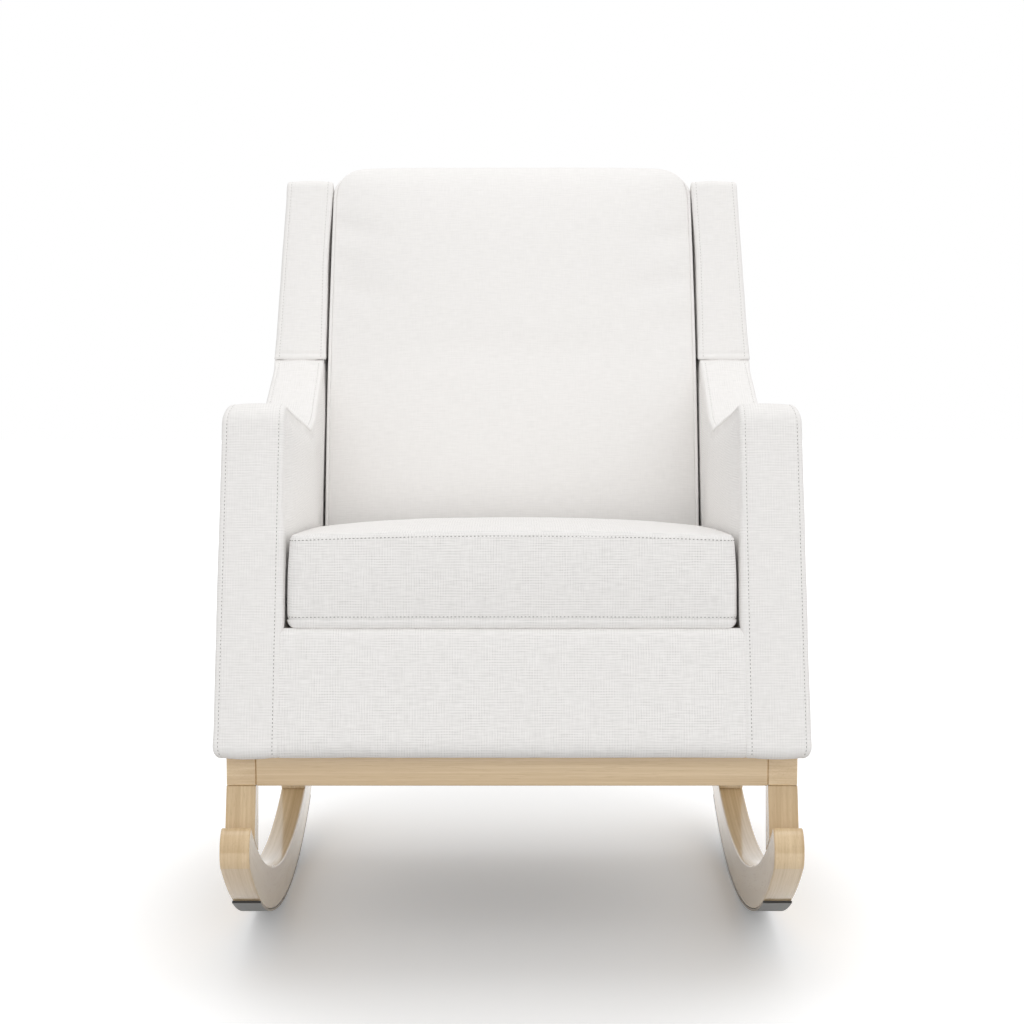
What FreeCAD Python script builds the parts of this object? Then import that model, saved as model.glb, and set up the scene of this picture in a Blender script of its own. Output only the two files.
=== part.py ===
# Upholstered nursery rocker: wooden rocking base, sprung seat, padded arms, wings and back, loose cushion.
# Frame: +Z up, the front faces -Y, the origin is on the floor under the middle of the chair.
import FreeCAD, Part
import math
import os
import re
import Sketcher

Vector = FreeCAD.Vector

# Driving dimensions in millimetres and degrees: name, value, meaning.
SIZES = [
    ("rocker_radius", 800, "floor arc, under the glide strips"),
    ("rocker_centre", 8, "where the rockers touch the floor at rest, behind the origin"),
    ("rocker_depth", 53, "depth of the wooden rocker"),
    ("rocker_thickness", 35, "thickness of rockers, legs and base side rails"),
    ("rocker_spread", 339.5, "outer face of a rocker from the middle"),
    ("strip_thickness", 3, "glide strip"),
    ("strip_rear_angle", 21.3, "rear end of the glide strip, about the rocker's centre"),
    ("strip_front_angle", 27.9, "front end of the glide strip, about the nose's centre"),
    ("sole_upturn_angle", 17.5, "where the underside turns up to the nose"),
    ("sole_nose_radius", 520, "underside of the nose"),
    ("sole_nose_angle", 41, "front end of the underside"),
    ("top_upturn_angle", 19.6, "where the top edge turns up to the nose"),
    ("top_nose_radius", 540, "top edge of the nose"),
    ("top_nose_angle", 39, "front end of the top edge"),
    ("nose_end_radius", 30, "rounded front end of the rocker"),
    ("tail_angle", 28.3, "rear end of the rocker"),
    ("tail_end_radius", 32, "rounded rear end of the rocker"),
    ("base_front", -352, "front face of the base rails"),
    ("base_rear", 250, "rear end of the base side rails"),
    ("rail_bottom", 226, "underside of the base rails"),
    ("rail_height", 44, "height of the base rails"),
    ("cross_rail_thickness", 24, "front and rear base rails"),
    ("front_leg_top_depth", 25, "front leg under the rail"),
    ("front_foot_front_angle", 35.1, "front leg on the nose, front corner"),
    ("front_foot_rear_angle", 30.9, "front leg on the nose, rear corner"),
    ("rear_leg_front", 211, "front face of the rear leg under the rail"),
    ("rear_leg_depth", 36, "rear leg under the rail"),
    ("rear_foot_front_angle", 16.1, "rear leg on the rocker, front corner"),
    ("rear_foot_rear_angle", 19, "rear leg on the rocker, rear corner"),
    ("block_leg", 70, "legs of the triangular base blocks"),
    ("block_height", 28, "base blocks"),
    ("leg_dowel_diameter", 12, "dowels through the legs"),
    ("leg_dowel_bite", 22, "dowel end in rail and rocker"),
    ("leg_dowel_offset", 6, "leg dowels outside the middle of the legs, clear of the rail dowels"),
    ("rail_dowel_diameter", 8, "dowels of the cross rails"),
    ("rail_dowel_bite", 16, "dowel end in each rail"),
    ("rail_dowel_pitch", 18, "height between the two dowels of a joint"),
    ("bolt_diameter", 8, "base bolts"),
    ("bolt_bite", 42, "bolt end in the seat side rail"),
    ("bolt_head_diameter", 15, "base bolt heads"),
    ("bolt_head_height", 5, "base bolt heads"),
    ("bolt_inset", 32, "bolt from the cross rail's inner face"),
    ("washer_diameter", 22, "washers under the bolt heads"),
    ("washer_thickness", 2, "washers under the bolt heads"),
    ("insert_diameter", 13, "threaded inserts"),
    ("insert_length", 26, "threaded inserts"),
    ("front_slope", 13, "lean of the arm fronts and front panel"),
    ("body_front", -385, "front of the arms at their lower edge"),
    ("arm_outer_front", 350, "outer face of an arm at the front"),
    ("arm_outer_rear", 337, "outer face of an arm at the rear"),
    ("arm_inner_front", 272, "inner face of an arm at the front"),
    ("arm_inner_rear", 266, "inner face of an arm at the rear"),
    ("arm_front_height", 679.5, "top of the arm at the front corner"),
    ("arm_corner_radius", 26, "rounded front corner of the arm top"),
    ("arm_slope", 10.9, "fall of the arm top to the rear"),
    ("valley_place", -14, "low point of the arm top, from the origin"),
    ("valley_radius", 100, "rounding at that low point"),
    ("swoop_radius", 480, "hollow of the rise to the wing"),
    ("wing_front", 187, "front of the wing at its lower seam"),
    ("wing_seam_height", 719, "seam between arm and wing"),
    ("wing_outer_low", 337, "outer face of a wing at its seam"),
    ("wing_outer_high", 324, "outer face of a wing at its top"),
    ("wing_inner_low", 267, "inner face of a wing at its seam"),
    ("wing_inner_high", 262.5, "inner face of a wing at its top"),
    ("wing_corner_radius", 14, "rounded front corner of the wing top"),
    ("cover_round", 9, "soft edges of arms and wings"),
    ("back_lean", 15, "lean of the back"),
    ("back_foot", 245, "rear face of the back at its lower edge"),
    ("back_length", 680, "wings and outside back, along the lean"),
    ("back_panel_thickness", 5, "outside back"),
    ("post_depth", 30, "back posts and back rails"),
    ("post_start", 8, "lower end of the posts, along the lean"),
    ("post_top_gap", 20, "posts below the top edge of the back"),
    ("back_rail_height", 50, "back top and lower rails"),
    ("lower_rail_rise", 86, "back lower rail above the back cushion's lower edge"),
    ("frame_thickness", 18, "plywood side and wing frames"),
    ("frame_place", 300, "inner face of the plywood frames"),
    ("frame_inset", 22, "padding outside the frames' edges"),
    ("seat_rail_thickness", 36, "seat side rails and back posts"),
    ("seat_front_rail_thickness", 28, "seat front rail, level"),
    ("seat_rear_rail_thickness", 28, "seat rear rail"),
    ("seat_rear", 206, "rear face of the seat rear rail"),
    ("seat_block_leg", 60, "legs of the triangular seat blocks"),
    ("seat_block_height", 32, "seat blocks"),
    ("seat_block_start", 296, "underside of the seat blocks"),
    ("front_panel_thickness", 22, "padding of the front panel, level"),
    ("front_panel_gap", 0.9, "front panel from the arms' inner faces"),
    ("seat_tilt", 3.5, "fall of the seat to the rear"),
    ("cushion_front", -350, "front of the seat cushion"),
    ("cushion_rest_height", 420, "underside of the seat cushion at its front"),
    ("cushion_rear_gap", 7, "zip slider from the back cushion"),
    ("cushion_half_width", 264, "seat cushion at its lower edge"),
    ("cushion_draw_in", 4, "how far the cushion's sides pull in"),
    ("cushion_taper", 6, "how much narrower the cushion is at its top seam"),
    ("cushion_height", 107, "seat cushion at its seams"),
    ("cushion_crown", 18, "rise of the cushion above its seams"),
    ("cushion_side_swell", 3, "swell of the cushion's sides"),
    ("cushion_end_drop", 9, "how much lower the cushion's ends are"),
    ("cushion_end_round", 30, "length of its rounded ends"),
    ("soft_gap", 0.3, "clearance of soft pieces"),
    ("cloth_thickness", 2, "deck cloth and dust cover"),
    ("deck_start", 37, "front edge of the deck cloth behind the cushion's front"),
    ("wire_diameter", 3.5, "sinuous springs"),
    ("spring_bend_radius", 13, "bends of the sinuous springs"),
    ("spring_half_width", 24, "half width of a sinuous spring"),
    ("spring_pitch", 100, "spacing of the springs"),
    ("clip_thickness", 1.2, "spring clips"),
    ("clip_width", 26, "spring clips"),
    ("clip_depth", 16, "spring clips"),
    ("clip_edge", 2, "rail left outside a spring clip"),
    ("pad_half_width", 262, "back cushion at its lower edge"),
    ("pad_taper", 3, "how much narrower the back cushion is near its top"),
    ("pad_draw_in", 2, "how far the back cushion's sides pull in"),
    ("pad_clearance", 2, "back cushion above the seat deck at the rear rail"),
    ("pad_rise", 23, "back cushion above the wings, along the lean"),
    ("pad_edge_depth", 136, "back cushion at its side seams"),
    ("pad_crown_low", 18, "swell of the back cushion's front at its lower edge"),
    ("pad_crown", 26, "swell of the back cushion's front at the small of the back"),
    ("pad_crown_high", 23, "swell of the back cushion's front at the shoulders"),
    ("pad_crown_top", 16, "swell of the back cushion's front at its top edge"),
    ("pad_corner", 32, "rounded upper corners of the back cushion"),
    ("pad_top_crown", 6, "rise of the back cushion's top edge"),
    ("pad_wall", 24, "foam of the back cushion around its hollow rear"),
    ("webbing_width", 50, "back webbing"),
    ("webbing_thickness", 2, "back webbing"),
    ("webbing_pitch", 110, "spacing of the webbing"),
    ("screw_level", 60, "seat screws above the seat rails' underside"),
    ("screw_inset", 60, "end screws from the end of their row"),
    ("screw_pitch", 190, "spacing of the frame screws"),
    ("screw_diameter", 6, "frame screws"),
    ("screw_length", 44, "frame screws"),
    ("screw_head_diameter", 12, "frame screw heads"),
    ("screw_head_height", 4, "frame screw heads"),
    ("zip_half_length", 220, "zip tape on the cushion's rear"),
    ("zip_tape_height", 22, "zip tape"),
    ("zip_tape_thickness", 1, "zip tape"),
    ("zip_chain_height", 6, "zip teeth"),
    ("zip_chain_thickness", 2, "zip teeth"),
    ("zip_height", 48, "middle of the zip above the cushion's underside"),
    ("zip_slider_length", 12, "zip slider"),
    ("zip_slider_height", 10, "zip slider"),
    ("zip_slider_thickness", 3, "zip slider"),
    ("zip_slider_gap", 0.3, "running clearance of the slider"),
    ("zip_pull_length", 24, "pull tab"),
    ("zip_pull_width", 5, "pull tab"),
    ("zip_pull_thickness", 1.2, "pull tab"),
]
NAMES = {name for name, _, _ in SIZES}
SPRING_COUNT = 5
WEBBING_COUNT = 4
SEAT_SCREW_COUNT = 3
SIDES = (("left", -1), ("right", 1))
EDGE_MARGIN = 1

doc = FreeCAD.newDocument("NurseryRocker")
sheet = doc.addObject("Spreadsheet::Sheet", "Sizes")
for row, (name, size, meaning) in enumerate(SIZES, start=1):
    sheet.set(f"A{row}", meaning)
    sheet.set(f"B{row}", str(size))
    sheet.setAlias(f"B{row}", name)
doc.recompute()

parts = []


def bound(text):
    """Turn size names in a formula into references to the sheet."""

    def refer(word):
        return "Sizes." + word.group() if word.group() in NAMES else word.group()

    return re.sub(r"[a-z_]+", refer, text)


def value(text):
    """Work out a formula of size names."""
    return float(sheet.evalExpression(bound(text)))


def bind(thing, path, text):
    """Tie a property of an object to a formula of size names."""
    thing.setExpression(path, bound(text))


def keep(thing, label):
    """Give a sub-part its name and list it for writing."""
    thing.Label = label
    parts.append(thing)
    return thing


# Places that several pieces share, as formulas

RAIL_TOP = "(rail_bottom + rail_height)"
ROCKER_INNER = "(rocker_spread - rocker_thickness)"
SOLE_RADIUS = "(rocker_radius - strip_thickness)"
TOP_RADIUS = "(rocker_radius - strip_thickness - rocker_depth)"
FRONT_RUN = "tan(front_slope)"
SEAM_RISE = f"(wing_seam_height - {RAIL_TOP})"


def nose_centre(radius, nose_radius, angle):
    """Centre of a nose arc that continues a main rocker arc from an angle on."""
    reach = f"({radius} - {nose_radius})"
    return f"(rocker_centre - {reach} * sin({angle}))", f"(rocker_radius - {reach} * cos({angle}))"


def on_arc(centre, radius, angle):
    """Point on an arc in side view; the angle grows towards the rear from straight down."""
    return f"{centre[0]} + ({radius}) * sin({angle})", f"{centre[1]} - ({radius}) * cos({angle})"


def leaned(depth, height):
    """Side-view point of the leaning back: depth forwards of its rear face, height along the lean."""
    along = f"back_foot - ({depth}) * cos(back_lean) + ({height}) * sin(back_lean)"
    up = f"{RAIL_TOP} + ({depth}) * sin(back_lean) + ({height}) * cos(back_lean)"
    return along, up


def leaned_at_level(depth, level):
    """Side-view point of the leaning back at a depth from its rear face and at a level height."""
    rise = f"({level} - {RAIL_TOP})"
    return f"back_foot - ({depth}) / cos(back_lean) + {rise} * tan(back_lean)", level


def front_line(setback, level):
    """Side-view point on the sloping front, some way behind its face."""
    return f"body_front + ({setback}) + ({level} - {RAIL_TOP}) * {FRONT_RUN}", level


def deck_level(along, below):
    """Height of a plane of the seat deck at a place, squarely below the cushion's underside."""
    fall = f"(({along}) - cushion_front) * tan(seat_tilt)"
    return f"(cushion_rest_height - ({below}) / cos(seat_tilt) - {fall})"


def front_at_deck(setback, below):
    """Side-view point where the sloping front meets the falling deck plane."""
    start = f"(body_front + ({setback}) - {RAIL_TOP} * {FRONT_RUN})"
    top = f"(cushion_rest_height - ({below}) / cos(seat_tilt) + cushion_front * tan(seat_tilt))"
    along = f"({start} + {top} * {FRONT_RUN}) / (1 + {FRONT_RUN} * tan(seat_tilt))"
    return along, deck_level(along, below)


MAIN_CENTRE = ("rocker_centre", "rocker_radius")
SOLE_NOSE_CENTRE = nose_centre(SOLE_RADIUS, "sole_nose_radius", "sole_upturn_angle")
TOP_NOSE_CENTRE = nose_centre(TOP_RADIUS, "top_nose_radius", "top_upturn_angle")
CLIP_HEIGHT = "(2 * clip_thickness + wire_diameter + soft_gap)"
RAIL_DROP = f"(2 * soft_gap + cloth_thickness + {CLIP_HEIGHT})"
POST_FACE = "(back_panel_thickness + post_depth)"
POST_END = "(back_length - post_top_gap)"
SEAM_ALONG = f"({SEAM_RISE} / cos(back_lean))"
PAD_REAR = f"({POST_FACE} + webbing_thickness + soft_gap)"
PAD_FRONT = f"({PAD_REAR} + pad_edge_depth + pad_crown)"
DECK_AT_REAR = deck_level("seat_rear", "-pad_clearance")
PAD_START = f"(({DECK_AT_REAR} - {RAIL_TOP}) * cos(back_lean) - (back_foot - seat_rear) * sin(back_lean))"
PAD_END = "(back_length + pad_rise)"
LOWER_RAIL_START = f"({PAD_START} + lower_rail_rise)"
PAD_LENGTH = f"({PAD_END} - {PAD_START})"
ZIP_LAYERS = ("zip_tape_thickness", "zip_chain_thickness", "zip_slider_gap", "zip_slider_thickness",
              "zip_pull_thickness")
ZIP_REACH = f"({' + '.join(ZIP_LAYERS)})"
ZIP_LEVEL = "(cushion_rest_height + zip_height * cos(seat_tilt))"
BACK_AT_ZIP = leaned_at_level(PAD_FRONT, ZIP_LEVEL)[0]
CUSHION_ROOM = f"({BACK_AT_ZIP} - cushion_front - zip_height * sin(seat_tilt) - cushion_rear_gap)"
CUSHION_LENGTH = f"({CUSHION_ROOM} / (cos(seat_tilt) + sin(seat_tilt) * tan(back_lean)) - {ZIP_REACH})"


# Ways of making a piece


def arc_through(start, end, radius, turn):
    """Arc between two points; turn is 1 where it runs anticlockwise from start to end, else -1."""
    chord = end - start
    half = chord.Length / 2
    across = Vector(-chord.y, chord.x, 0).normalize() * math.sqrt(radius * radius - half * half) * turn
    centre = (start + end) / 2 + across
    first, last = (start, end) if turn > 0 else (end, start)
    angles = [math.atan2(point.y - centre.y, point.x - centre.x) for point in (first, last)]
    if angles[1] < angles[0]:
        angles[1] += 2 * math.pi
    return Part.ArcOfCircle(Part.Circle(centre, Vector(0, 0, 1), radius), *angles)


def draw(sketch, corners, arcs):
    """Draw a closed outline whose corners and arc radii follow the sheet."""
    points = [Vector(value(across), value(up), 0) for across, up in corners]
    count = len(points)
    ends = []
    for index, point in enumerate(points):
        following = points[(index + 1) % count]
        radius, turn = arcs.get(index, (None, 1))
        if radius is None:
            sketch.addGeometry(Part.LineSegment(point, following))
        else:
            sketch.addGeometry(arc_through(point, following, value(radius), turn))
        ends.append((1, 2) if turn > 0 else (2, 1))
    for index in range(count):
        following = (index + 1) % count
        link = Sketcher.Constraint("Coincident", index, ends[index][1], following, ends[following][0])
        sketch.addConstraint(link)
    for index, corner in enumerate(corners):
        for kind, text in zip(("DistanceX", "DistanceY"), corner):
            place = sketch.addConstraint(Sketcher.Constraint(kind, index, ends[index][0], value(text)))
            bind(sketch, f"Constraints[{place}]", text)
    for index, (radius, _) in arcs.items():
        place = sketch.addConstraint(Sketcher.Constraint("Radius", index, value(radius)))
        bind(sketch, f"Constraints[{place}]", radius)


def sketch_on(body, plane, name, corners, arcs):
    """Add a sketch with a closed outline to one of a body's own planes."""
    sketch = body.newObject("Sketcher::SketchObject", name)
    support = next(feature for feature in body.Origin.OriginFeatures if feature.Role == plane + "_Plane")
    sketch.AttachmentSupport = (support, "")
    sketch.MapMode = "FlatFace"
    draw(sketch, corners, arcs)
    return sketch


def prism(name, plane, corners, depth, arcs=None, place=("0", "0", "0")):
    """Pad an outline: a YZ outline grows to +X, an XY outline to +Z, an XZ outline to -Y."""
    body = doc.addObject("PartDesign::Body", name)
    sketch = sketch_on(body, plane, name + "_outline", corners, arcs or {})
    pad = body.newObject("PartDesign::Pad", name + "_pad")
    pad.Profile = sketch
    bind(pad, "Length", depth)
    locate(body, place)
    return body


def block(name, low, high):
    """Rectangular piece between two corners."""
    box = doc.addObject("Part::Box", name)
    for side, first, last in zip(("Length", "Width", "Height"), low, high):
        bind(box, side, f"({last}) - ({first})")
    locate(box, low)
    return box


def locate(thing, place):
    """Tie an object's position to formulas."""
    for axis, text in zip("xyz", place):
        bind(thing, "Placement.Base." + axis, text)


def tip_back(thing, angle, place):
    """Turn a piece about the X axis so that its top, or its rear, falls to the rear by an angle."""
    thing.Placement = FreeCAD.Placement(Vector(), FreeCAD.Rotation(Vector(-1, 0, 0), value(angle)))
    bind(thing, "Placement.Rotation.Angle", f"{angle} * 1 deg")
    locate(thing, place)
    return thing


def cut(name, base, tools):
    """Take the shapes of other pieces out of a piece."""
    gather = doc.addObject("Part::Compound", name + "_tools")
    gather.Links = tools
    result = doc.addObject("Part::Cut", name)
    result.Base = base
    result.Tool = gather
    return result


def tool_of(name, shapes):
    """Shapes that are only taken out of other pieces."""
    feature = doc.addObject("Part::Feature", name)
    feature.Shape = Part.makeCompound(shapes)
    return feature


def group(label, shapes):
    """Node of several equal solids."""
    return keep(tool_of(label, shapes), label)


def rod(centre, direction, diameter, length):
    """Round bar from a point along a direction."""
    return Part.makeCylinder(diameter / 2, length, centre, direction)


def swell(half_chord, rise):
    """Radius of an arc over a chord, from half the chord and the arc's rise."""
    return f"(({half_chord}) ^ 2 + ({rise}) ^ 2) / (2 * ({rise}))"


def loft(name, plane, sections):
    """Soft solid through outlines: each section is an offset, its corners and its arcs."""
    body = doc.addObject("PartDesign::Body", name)
    sketches = []
    for number, (offset, corners, arcs) in enumerate(sections, start=1):
        sketch = sketch_on(body, plane, f"{name}_section_{number}", corners, arcs)
        bind(sketch, "AttachmentOffset.Base.z", offset)
        sketches.append(sketch)
    shape = body.newObject("PartDesign::AdditiveLoft", name + "_loft")
    shape.Profile = sketches[0]
    shape.Sections = sketches[1:]
    return body


# Rocking base

rocker_corners = [
    on_arc(MAIN_CENTRE, SOLE_RADIUS, "tail_angle"),
    on_arc(MAIN_CENTRE, SOLE_RADIUS, "-sole_upturn_angle"),
    on_arc(SOLE_NOSE_CENTRE, "sole_nose_radius", "-sole_nose_angle"),
    on_arc(TOP_NOSE_CENTRE, "top_nose_radius", "-top_nose_angle"),
    on_arc(MAIN_CENTRE, TOP_RADIUS, "-top_upturn_angle"),
    on_arc(MAIN_CENTRE, TOP_RADIUS, "tail_angle"),
]
rocker_arcs = {
    0: (SOLE_RADIUS, -1),
    1: ("sole_nose_radius", -1),
    2: ("nose_end_radius", -1),
    3: ("top_nose_radius", 1),
    4: (TOP_RADIUS, 1),
    5: ("tail_end_radius", -1),
}
STRIP_NOSE_RADIUS = "(sole_nose_radius + strip_thickness)"
strip_corners = [
    on_arc(MAIN_CENTRE, "rocker_radius", "strip_rear_angle"),
    on_arc(MAIN_CENTRE, "rocker_radius", "-sole_upturn_angle"),
    on_arc(SOLE_NOSE_CENTRE, STRIP_NOSE_RADIUS, "-strip_front_angle"),
    on_arc(SOLE_NOSE_CENTRE, "sole_nose_radius", "-strip_front_angle"),
    on_arc(MAIN_CENTRE, SOLE_RADIUS, "-sole_upturn_angle"),
    on_arc(MAIN_CENTRE, SOLE_RADIUS, "strip_rear_angle"),
]
strip_arcs = {
    0: ("rocker_radius", -1),
    1: (STRIP_NOSE_RADIUS, -1),
    3: ("sole_nose_radius", 1),
    4: (SOLE_RADIUS, 1),
}
front_leg_corners = [
    ("base_front", "rail_bottom"),
    on_arc(TOP_NOSE_CENTRE, "top_nose_radius", "-front_foot_front_angle"),
    on_arc(TOP_NOSE_CENTRE, "top_nose_radius", "-front_foot_rear_angle"),
    ("base_front + front_leg_top_depth", "rail_bottom"),
]
rear_leg_corners = [
    ("rear_leg_front", "rail_bottom"),
    on_arc(MAIN_CENTRE, TOP_RADIUS, "rear_foot_front_angle"),
    on_arc(MAIN_CENTRE, TOP_RADIUS, "rear_foot_rear_angle"),
    ("rear_leg_front + rear_leg_depth", "rail_bottom"),
]
side_rail_corners = [
    ("base_front", "rail_bottom"),
    ("base_rear", "rail_bottom"),
    ("base_rear", RAIL_TOP),
    ("base_front", RAIL_TOP),
]
leg_dowel_line = value("rocker_spread - rocker_thickness / 2 + leg_dowel_offset")
front_leg_middle = value("base_front + front_leg_top_depth / 2")
rear_leg_middle = value("rear_leg_front + rear_leg_depth / 2")


def leg_dowel(across, along, foot_level):
    """Upright dowel through a leg, from inside the rocker to inside the rail."""
    low = foot_level - value("leg_dowel_bite")
    length = value("rail_bottom + leg_dowel_bite") - low
    return rod(Vector(across, along, low), Vector(0, 0, 1), value("leg_dowel_diameter"), length)


def foot_level(centre, radius, along):
    """Height of the rocker's top edge at a place."""
    reach = along - value(centre[0])
    return value(centre[1]) - math.sqrt(value(radius) ** 2 - reach ** 2)


front_foot_level = foot_level(TOP_NOSE_CENTRE, "top_nose_radius", front_leg_middle)
rear_foot_level = foot_level(MAIN_CENTRE, TOP_RADIUS, rear_leg_middle)
cross_rail_places = {
    "front": value("base_front + cross_rail_thickness / 2"),
    "rear": value("base_rear - cross_rail_thickness / 2"),
}
dowel_levels = [value(f"rail_bottom + (rail_height {sign} rail_dowel_pitch) / 2") for sign in "-+"]

leg_dowels = {}
rail_dowels = {}
for side, sign in SIDES:
    leg_dowels[side] = [
        leg_dowel(sign * leg_dowel_line, front_leg_middle, front_foot_level),
        leg_dowel(sign * leg_dowel_line, rear_leg_middle, rear_foot_level),
    ]
    rail_dowels[side] = [
        rod(
            Vector(sign * (value(ROCKER_INNER) - value("rail_dowel_bite")), along, level),
            Vector(sign, 0, 0),
            value("rail_dowel_diameter"),
            2 * value("rail_dowel_bite"),
        )
        for along in cross_rail_places.values()
        for level in dowel_levels
    ]
group("leg_dowels", leg_dowels["left"] + leg_dowels["right"])
group("rail_dowels", rail_dowels["left"] + rail_dowels["right"])

for side, sign in SIDES:
    inner = (ROCKER_INNER if sign > 0 else "-rocker_spread", "0", "0")
    upright_bores = tool_of(f"upright_bores_{side}", leg_dowels[side])
    level_bores = tool_of(f"level_bores_{side}", rail_dowels[side])
    outlines = (
        ("rocker", rocker_corners, rocker_arcs, [upright_bores]),
        ("front_leg", front_leg_corners, {1: ("top_nose_radius", 1)}, [upright_bores]),
        ("rear_leg", rear_leg_corners, {1: (TOP_RADIUS, 1)}, [upright_bores]),
        ("base_side_rail", side_rail_corners, {}, [upright_bores, level_bores]),
    )
    for name, corners, arcs, bores in outlines:
        blank = prism(f"{name}_blank_{side}", "YZ", corners, "rocker_thickness", arcs, inner)
        keep(cut(f"{name}_{side}_bored", blank, bores), f"{name}_{side}")
    strip = prism(f"strip_{side}", "YZ", strip_corners, "rocker_thickness", strip_arcs, inner)
    keep(strip, f"glide_strip_{side}")

both_level_bores = tool_of("level_bores", rail_dowels["left"] + rail_dowels["right"])
cross_rails = {
    "front": ("base_front", "base_front + cross_rail_thickness"),
    "rear": ("base_rear - cross_rail_thickness", "base_rear"),
}
for name, (first, last) in cross_rails.items():
    low = (f"-{ROCKER_INNER}", first, "rail_bottom")
    high = (ROCKER_INNER, last, RAIL_TOP)
    blank = block(f"base_{name}_rail_blank", low, high)
    keep(cut(f"base_{name}_rail_bored", blank, [both_level_bores]), f"base_{name}_rail")

# Base bolts, which come up through the corner blocks into the seat side rails

side_rail_middle = value("frame_place - seat_rail_thickness / 2")
bolt_places = [
    Vector(sign * side_rail_middle, along, 0)
    for _, sign in SIDES
    for along in (
        value("base_front + cross_rail_thickness + bolt_inset"),
        value("base_rear - cross_rail_thickness - bolt_inset"),
    )
]
rail_top = value(RAIL_TOP)
block_bottom = value(f"{RAIL_TOP} - block_height")
washer_bottom = block_bottom - value("washer_thickness")
bolt_end = rail_top + value("bolt_bite")
head_bottom = washer_bottom - value("bolt_head_height")
UPWARD = Vector(0, 0, 1)


def raised(place, level):
    """A plan position at a height."""
    return Vector(place.x, place.y, level)


shanks = [
    rod(raised(place, washer_bottom), UPWARD, value("bolt_diameter"), bolt_end - washer_bottom)
    for place in bolt_places
]
bolts = []
for place, shank in zip(bolt_places, shanks):
    head = rod(raised(place, head_bottom), UPWARD, value("bolt_head_diameter"), value("bolt_head_height"))
    bolts.append(shank.fuse(head).removeSplitter())
group("base_bolts", bolts)
washers = []
for place, shank in zip(bolt_places, shanks):
    disc = rod(raised(place, washer_bottom), UPWARD, value("washer_diameter"), value("washer_thickness"))
    washers.append(disc.cut(shank))
group("bolt_washers", washers)
insert_bodies = [
    rod(raised(place, rail_top), UPWARD, value("insert_diameter"), value("insert_length"))
    for place in bolt_places
]
group("threaded_inserts", [body.cut(shank) for body, shank in zip(insert_bodies, shanks)])
bolt_bores = tool_of("bolt_bores", shanks)
insert_bores = tool_of("insert_bores", insert_bodies)


def corner_blocks(name, leg, height, across, front, rear, level):
    """Triangular blocks in the four corners of a rectangular frame."""
    blocks = []
    for _, sign in SIDES:
        for along, inward in ((front, 1), (rear, -1)):
            corner = Vector(sign * across, along, level)
            points = [
                corner,
                corner + Vector(-sign * leg, 0, 0),
                corner + Vector(0, inward * leg, 0),
                corner,
            ]
            face = Part.Face(Part.makePolygon(points))
            blocks.append(face.extrude(Vector(0, 0, height)))
    return tool_of(name, blocks)


base_blocks = corner_blocks(
    "base_block_blanks",
    value("block_leg"),
    value("block_height"),
    value(ROCKER_INNER),
    value("base_front + cross_rail_thickness"),
    value("base_rear - cross_rail_thickness"),
    block_bottom,
)
keep(cut("base_blocks_bored", base_blocks, [bolt_bores]), "base_corner_blocks")

# Seat frame

SEAT_HALF = "(frame_place - seat_rail_thickness)"
rail_setback = "front_panel_thickness"
rail_rear_setback = "front_panel_thickness + seat_front_rail_thickness"
front_rail_corners = [
    front_line(rail_setback, RAIL_TOP),
    front_line(rail_rear_setback, RAIL_TOP),
    front_at_deck(rail_rear_setback, RAIL_DROP),
    front_at_deck(rail_setback, RAIL_DROP),
]
seat_front_rail = prism(
    "seat_front_rail", "YZ", front_rail_corners, "2 * frame_place", place=("-frame_place", "0", "0")
)
keep(seat_front_rail, "seat_front_rail")
SEAT_REAR_FACE = "(seat_rear - seat_rear_rail_thickness)"
rear_rail_corners = [
    (SEAT_REAR_FACE, RAIL_TOP),
    ("seat_rear", RAIL_TOP),
    ("seat_rear", deck_level("seat_rear", RAIL_DROP)),
    (SEAT_REAR_FACE, deck_level(SEAT_REAR_FACE, RAIL_DROP)),
]
seat_rear_rail = prism(
    "seat_rear_rail", "YZ", rear_rail_corners, f"2 * {SEAT_HALF}", place=(f"-{SEAT_HALF}", "0", "0")
)
keep(seat_rear_rail, "seat_rear_rail")
seat_side_corners = [
    front_line(rail_rear_setback, RAIL_TOP),
    ("seat_rear", RAIL_TOP),
    ("seat_rear", deck_level("seat_rear", RAIL_DROP)),
    front_at_deck(rail_rear_setback, RAIL_DROP),
]

# Back rails, on the leaning plane of the back

BACK_PLACE = ("0", "back_foot", RAIL_TOP)


def on_back(name, low, high):
    """Rectangular piece on the leaning plane: across, forwards of the rear face, along the lean."""
    corners = [
        (low[0], f"-({high[1]})"),
        (high[0], f"-({high[1]})"),
        (high[0], f"-({low[1]})"),
        (low[0], f"-({low[1]})"),
    ]
    body = prism(name, "XY", corners, f"({high[2]}) - ({low[2]})")
    bind(body.Group[0], "AttachmentOffset.Base.z", low[2])
    return tip_back(body, "back_lean", BACK_PLACE)


back_rail_spans = {
    "back_lower_rail": (LOWER_RAIL_START, f"{LOWER_RAIL_START} + back_rail_height"),
    "back_top_rail": (f"{POST_END} - back_rail_height", POST_END),
}
back_rails = {}
for name, (first, last) in back_rail_spans.items():
    low = (f"-{SEAT_HALF}", "back_panel_thickness", first)
    high = (SEAT_HALF, POST_FACE, last)
    back_rails[name] = keep(on_back(name, low, high), name)

# Frame screws run from the plywood into the seat side rails and the back posts

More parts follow.
